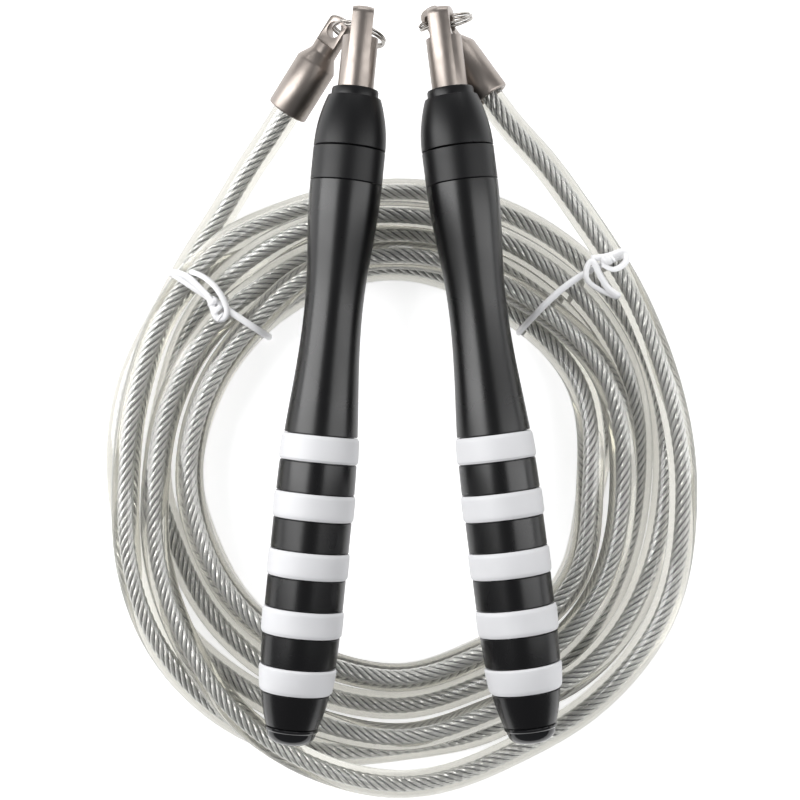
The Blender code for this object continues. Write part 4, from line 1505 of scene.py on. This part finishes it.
    def plug(self) -> bpy.types.Object:
        """Build the domed end plug on its hollow stem.

        Returns:
            The piece.
        """
        front = self.body_end + self.gap
        stem, wall, depth = self.bore - self.gap, 0.0016, 0.012
        rim = [(self.tail_radius - 0.0003, -front), (self.tail_radius, -front - 0.0003),
               (self.tail_radius, -front - 0.0009), (self.tail_radius - 0.00035, -front - 0.0013)]
        shoulder = self.tail_radius - 0.0006
        dome = []
        for t in np.linspace(0.0, math.pi / 2, 14):
            radius = 0.0034 + (shoulder - 0.0034) * math.cos(t)
            dome.append((radius, -front - 0.0014 - (self.length - front - 0.0014) * math.sin(t)))
        profile = [(0.0, -front), (stem - wall, -front), (stem - wall, -front + depth),
                   (stem, -front + depth),
                   (stem, -front), *rim, *dome, (0.0, -self.length)]
        return turned(self.plan.named("butt_plug"), profile, closed=False)

    def build(self) -> list[bpy.types.Object]:
        """Build the handle and hang its pieces on its body.

        Returns:
            The pieces.
        """
        dressed = [(self.collar(), NOSE_PLASTIC, "nose_collar"),
                   (self.housing(), NOSE_PLASTIC, "bearing_housing"),
                   (self.body(), GRIP_PLASTIC, "handle_body"), (self.plug(), PLUG_PLASTIC, "end_plug")]
        for number, middle in enumerate(self.stations(), start=1):
            dressed.append((self.band(number, middle), BAND_RUBBER, f"grip_band_{number}"))
        place = self.plan.handle_frame()
        for piece, finish, node in dressed:
            finish.put_on(piece)
            piece.matrix_world = place
            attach(piece, self.plan.named("handle"))
            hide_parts(self.plan.named(node))
            LOG.info("%s", piece.name)
        return [piece for piece, _, _ in dressed]


@dataclass
class BearingStack:
    """The CAD's hidden bearings and hardware inside one handle, which only need their finishes.

    Attributes:
        plan: the end that they belong to.
    """

    plan: EndPlan

    def dress(self) -> None:
        """Put ground steel, turned steel and brass on the inner nodes."""
        for part in ("spacer", "thrust_washer", "lock_nut"):
            TURNED_STEEL.put_on(frame["nodes"][self.plan.named(part)])
        for place in ("front", "rear"):
            for race in ("inner_race", "outer_race"):
                RACE_STEEL.put_on(frame["nodes"][self.plan.named(f"{place}_{race}")])
            CAGE_BRASS.put_on(frame["nodes"][self.plan.named(f"{place}_ball_cage")])
        LOG.info("%s bearings dressed", self.plan.side.value)


# Studio

@dataclass
class Studio:
    """A pale floor under soft light, seen from straight above.

    Attributes:
        eye: the camera's place.
        lens: its focal length in millimetres.
        floor_size: the floor's width.
        floor_glow: how much light the floor gives off, so that it stays an even white.
        fill: strength of the room's fill light.
    """

    eye: tuple[float, float, float] = (0.0, 0.1038, 0.551)
    lens: float = 76.0
    floor_size: float = 6.0
    floor_glow: float = 0.68
    fill: float = 0.24

    def camera(self) -> None:
        """Set the camera, looking straight down with +Y upwards."""
        data = bpy.data.cameras.new("overhead")
        data.lens = self.lens
        data.sensor_width = 36.0
        data.clip_start = 0.01
        camera = bpy.data.objects.new("overhead", data)
        camera.location = self.eye
        bpy.context.scene.collection.objects.link(camera)
        bpy.context.scene.camera = camera

    def floor(self) -> None:
        """Lay the floor and give it a plain, very pale finish."""
        half = self.floor_size / 2
        mesh = bpy.data.meshes.new("floor")
        mesh.from_pydata([(-half, -half, 0.0), (half, -half, 0.0), (half, half, 0.0), (-half, half, 0.0)], [],
                         [(0, 1, 2, 3)])
        floor = new_piece("floor", mesh)
        material = bpy.data.materials.new("matte_white_acrylic")
        material.use_nodes = True
        shader = material.node_tree.nodes["Principled BSDF"]
        shader.inputs["Base Color"].default_value = linear("#F6F6F6")
        shader.inputs["Roughness"].default_value = 0.8
        shader.inputs["Specular IOR Level"].default_value = 0.1
        shader.inputs["Emission Color"].default_value = linear("#FFFFFF")
        shader.inputs["Emission Strength"].default_value = self.floor_glow
        floor.data.materials.append(material)

    def lamp(self, name: str, place: Sequence[float], aim: Sequence[float], size: tuple[float, float],
             power: float) -> None:
        """Hang one rectangular softbox.

        Args:
            name: the lamp's name.
            place: where it hangs.
            aim: the point that it faces.
            size: its width and height.
            power: its power in watts.
        """
        data = bpy.data.lights.new(name, "AREA")
        data.shape = "RECTANGLE"
        data.size, data.size_y = size
        data.energy = power
        lamp = bpy.data.objects.new(name, data)
        lamp.location = place
        lamp.rotation_euler = (Vector(place) - Vector(aim)).to_track_quat("Z", "Y").to_euler()
        bpy.context.scene.collection.objects.link(lamp)

    def build(self) -> None:
        """Set up the camera, floor, softboxes and the room's faint fill."""
        self.camera()
        self.floor()
        aim = (0.0, 0.1, 0.0)
        self.lamp("left_softbox", (-1.10, 0.35, 0.85), aim, (0.6, 1.6), 22.0)
        self.lamp("right_softbox", (1.10, 0.20, 0.85), aim, (0.4, 1.6), 9.0)
        self.lamp("rear_softbox", (0.1, 1.40, 0.50), aim, (1.2, 0.4), 6.0)
        world = bpy.data.worlds.new("room")
        bpy.context.scene.world = world
        world.use_nodes = True
        background = world.node_tree.nodes["Background"]
        background.inputs["Color"].default_value = linear("#F2F4F7")
        background.inputs["Strength"].default_value = self.fill
        bpy.context.scene.view_settings.view_transform = "Standard"
        LOG.info("studio")


TIES = (
    TwistTie(LEFT_END, (-0.0439, 0.1253), (-0.0733, 0.1447), (
        ((-0.0738, 0.1440, 0.0145), (-0.0716, 0.1440, 0.0182), (-0.0672, 0.1428, 0.0208),
         (-0.0629, 0.1390, 0.0215), (-0.0595, 0.1352, 0.0220), (-0.0585, 0.1318, 0.0222),
         (-0.0576, 0.1293, 0.0222), (-0.0556, 0.1284, 0.0222), (-0.0540, 0.1308, 0.0222),
         (-0.0552, 0.1352, 0.0226), (-0.0585, 0.1400, 0.0224), (-0.0626, 0.1430, 0.0212),
         (-0.0658, 0.1442, 0.0196)),
    ), ((-0.0592, 0.1362, 0.0216), (-0.0562, 0.1290, 0.0216), 0.0013)),
    TwistTie(RIGHT_END, (0.0391, 0.1262), (0.0720, 0.1502), (
        ((0.0690, 0.1364, 0.0205), (0.0657, 0.1382, 0.0218), (0.0626, 0.1427, 0.0226),
         (0.0598, 0.1478, 0.0226), (0.0581, 0.1443, 0.0222), (0.0584, 0.1415, 0.0218),
         (0.0620, 0.1387, 0.0212), (0.0682, 0.1360, 0.0195)),
        ((0.0600, 0.1482, 0.0212), (0.0626, 0.1484, 0.0216), (0.0665, 0.1492, 0.0212),
         (0.0710, 0.1507, 0.0196), (0.0716, 0.1485, 0.0200), (0.0688, 0.1452, 0.0222),
         (0.0665, 0.1443, 0.0230), (0.0634, 0.1462, 0.0228)),
    ), ((0.0634, 0.1470, 0.0226), (0.0664, 0.1481, 0.0226), 0.0010), 0.0032),
)


def main() -> None:
    logging.basicConfig(level=logging.INFO, format="%(name)s: %(message)s")
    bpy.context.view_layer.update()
    Studio().build()
    rope = Rope(CoilPlan())
    sheath, core = rope.build()
    ties = [piece for tie in TIES for piece in tie.build(rope)]
    ferrules = [Ferrule(plan).build() for plan in (LEFT_END, RIGHT_END)]
    for plan in (LEFT_END, RIGHT_END):
        SplitRing(plan).build()
        Spindle(plan).build()
        Grip(plan).build()
        BearingStack(plan).dress()


if __name__ == "__main__":
    main()
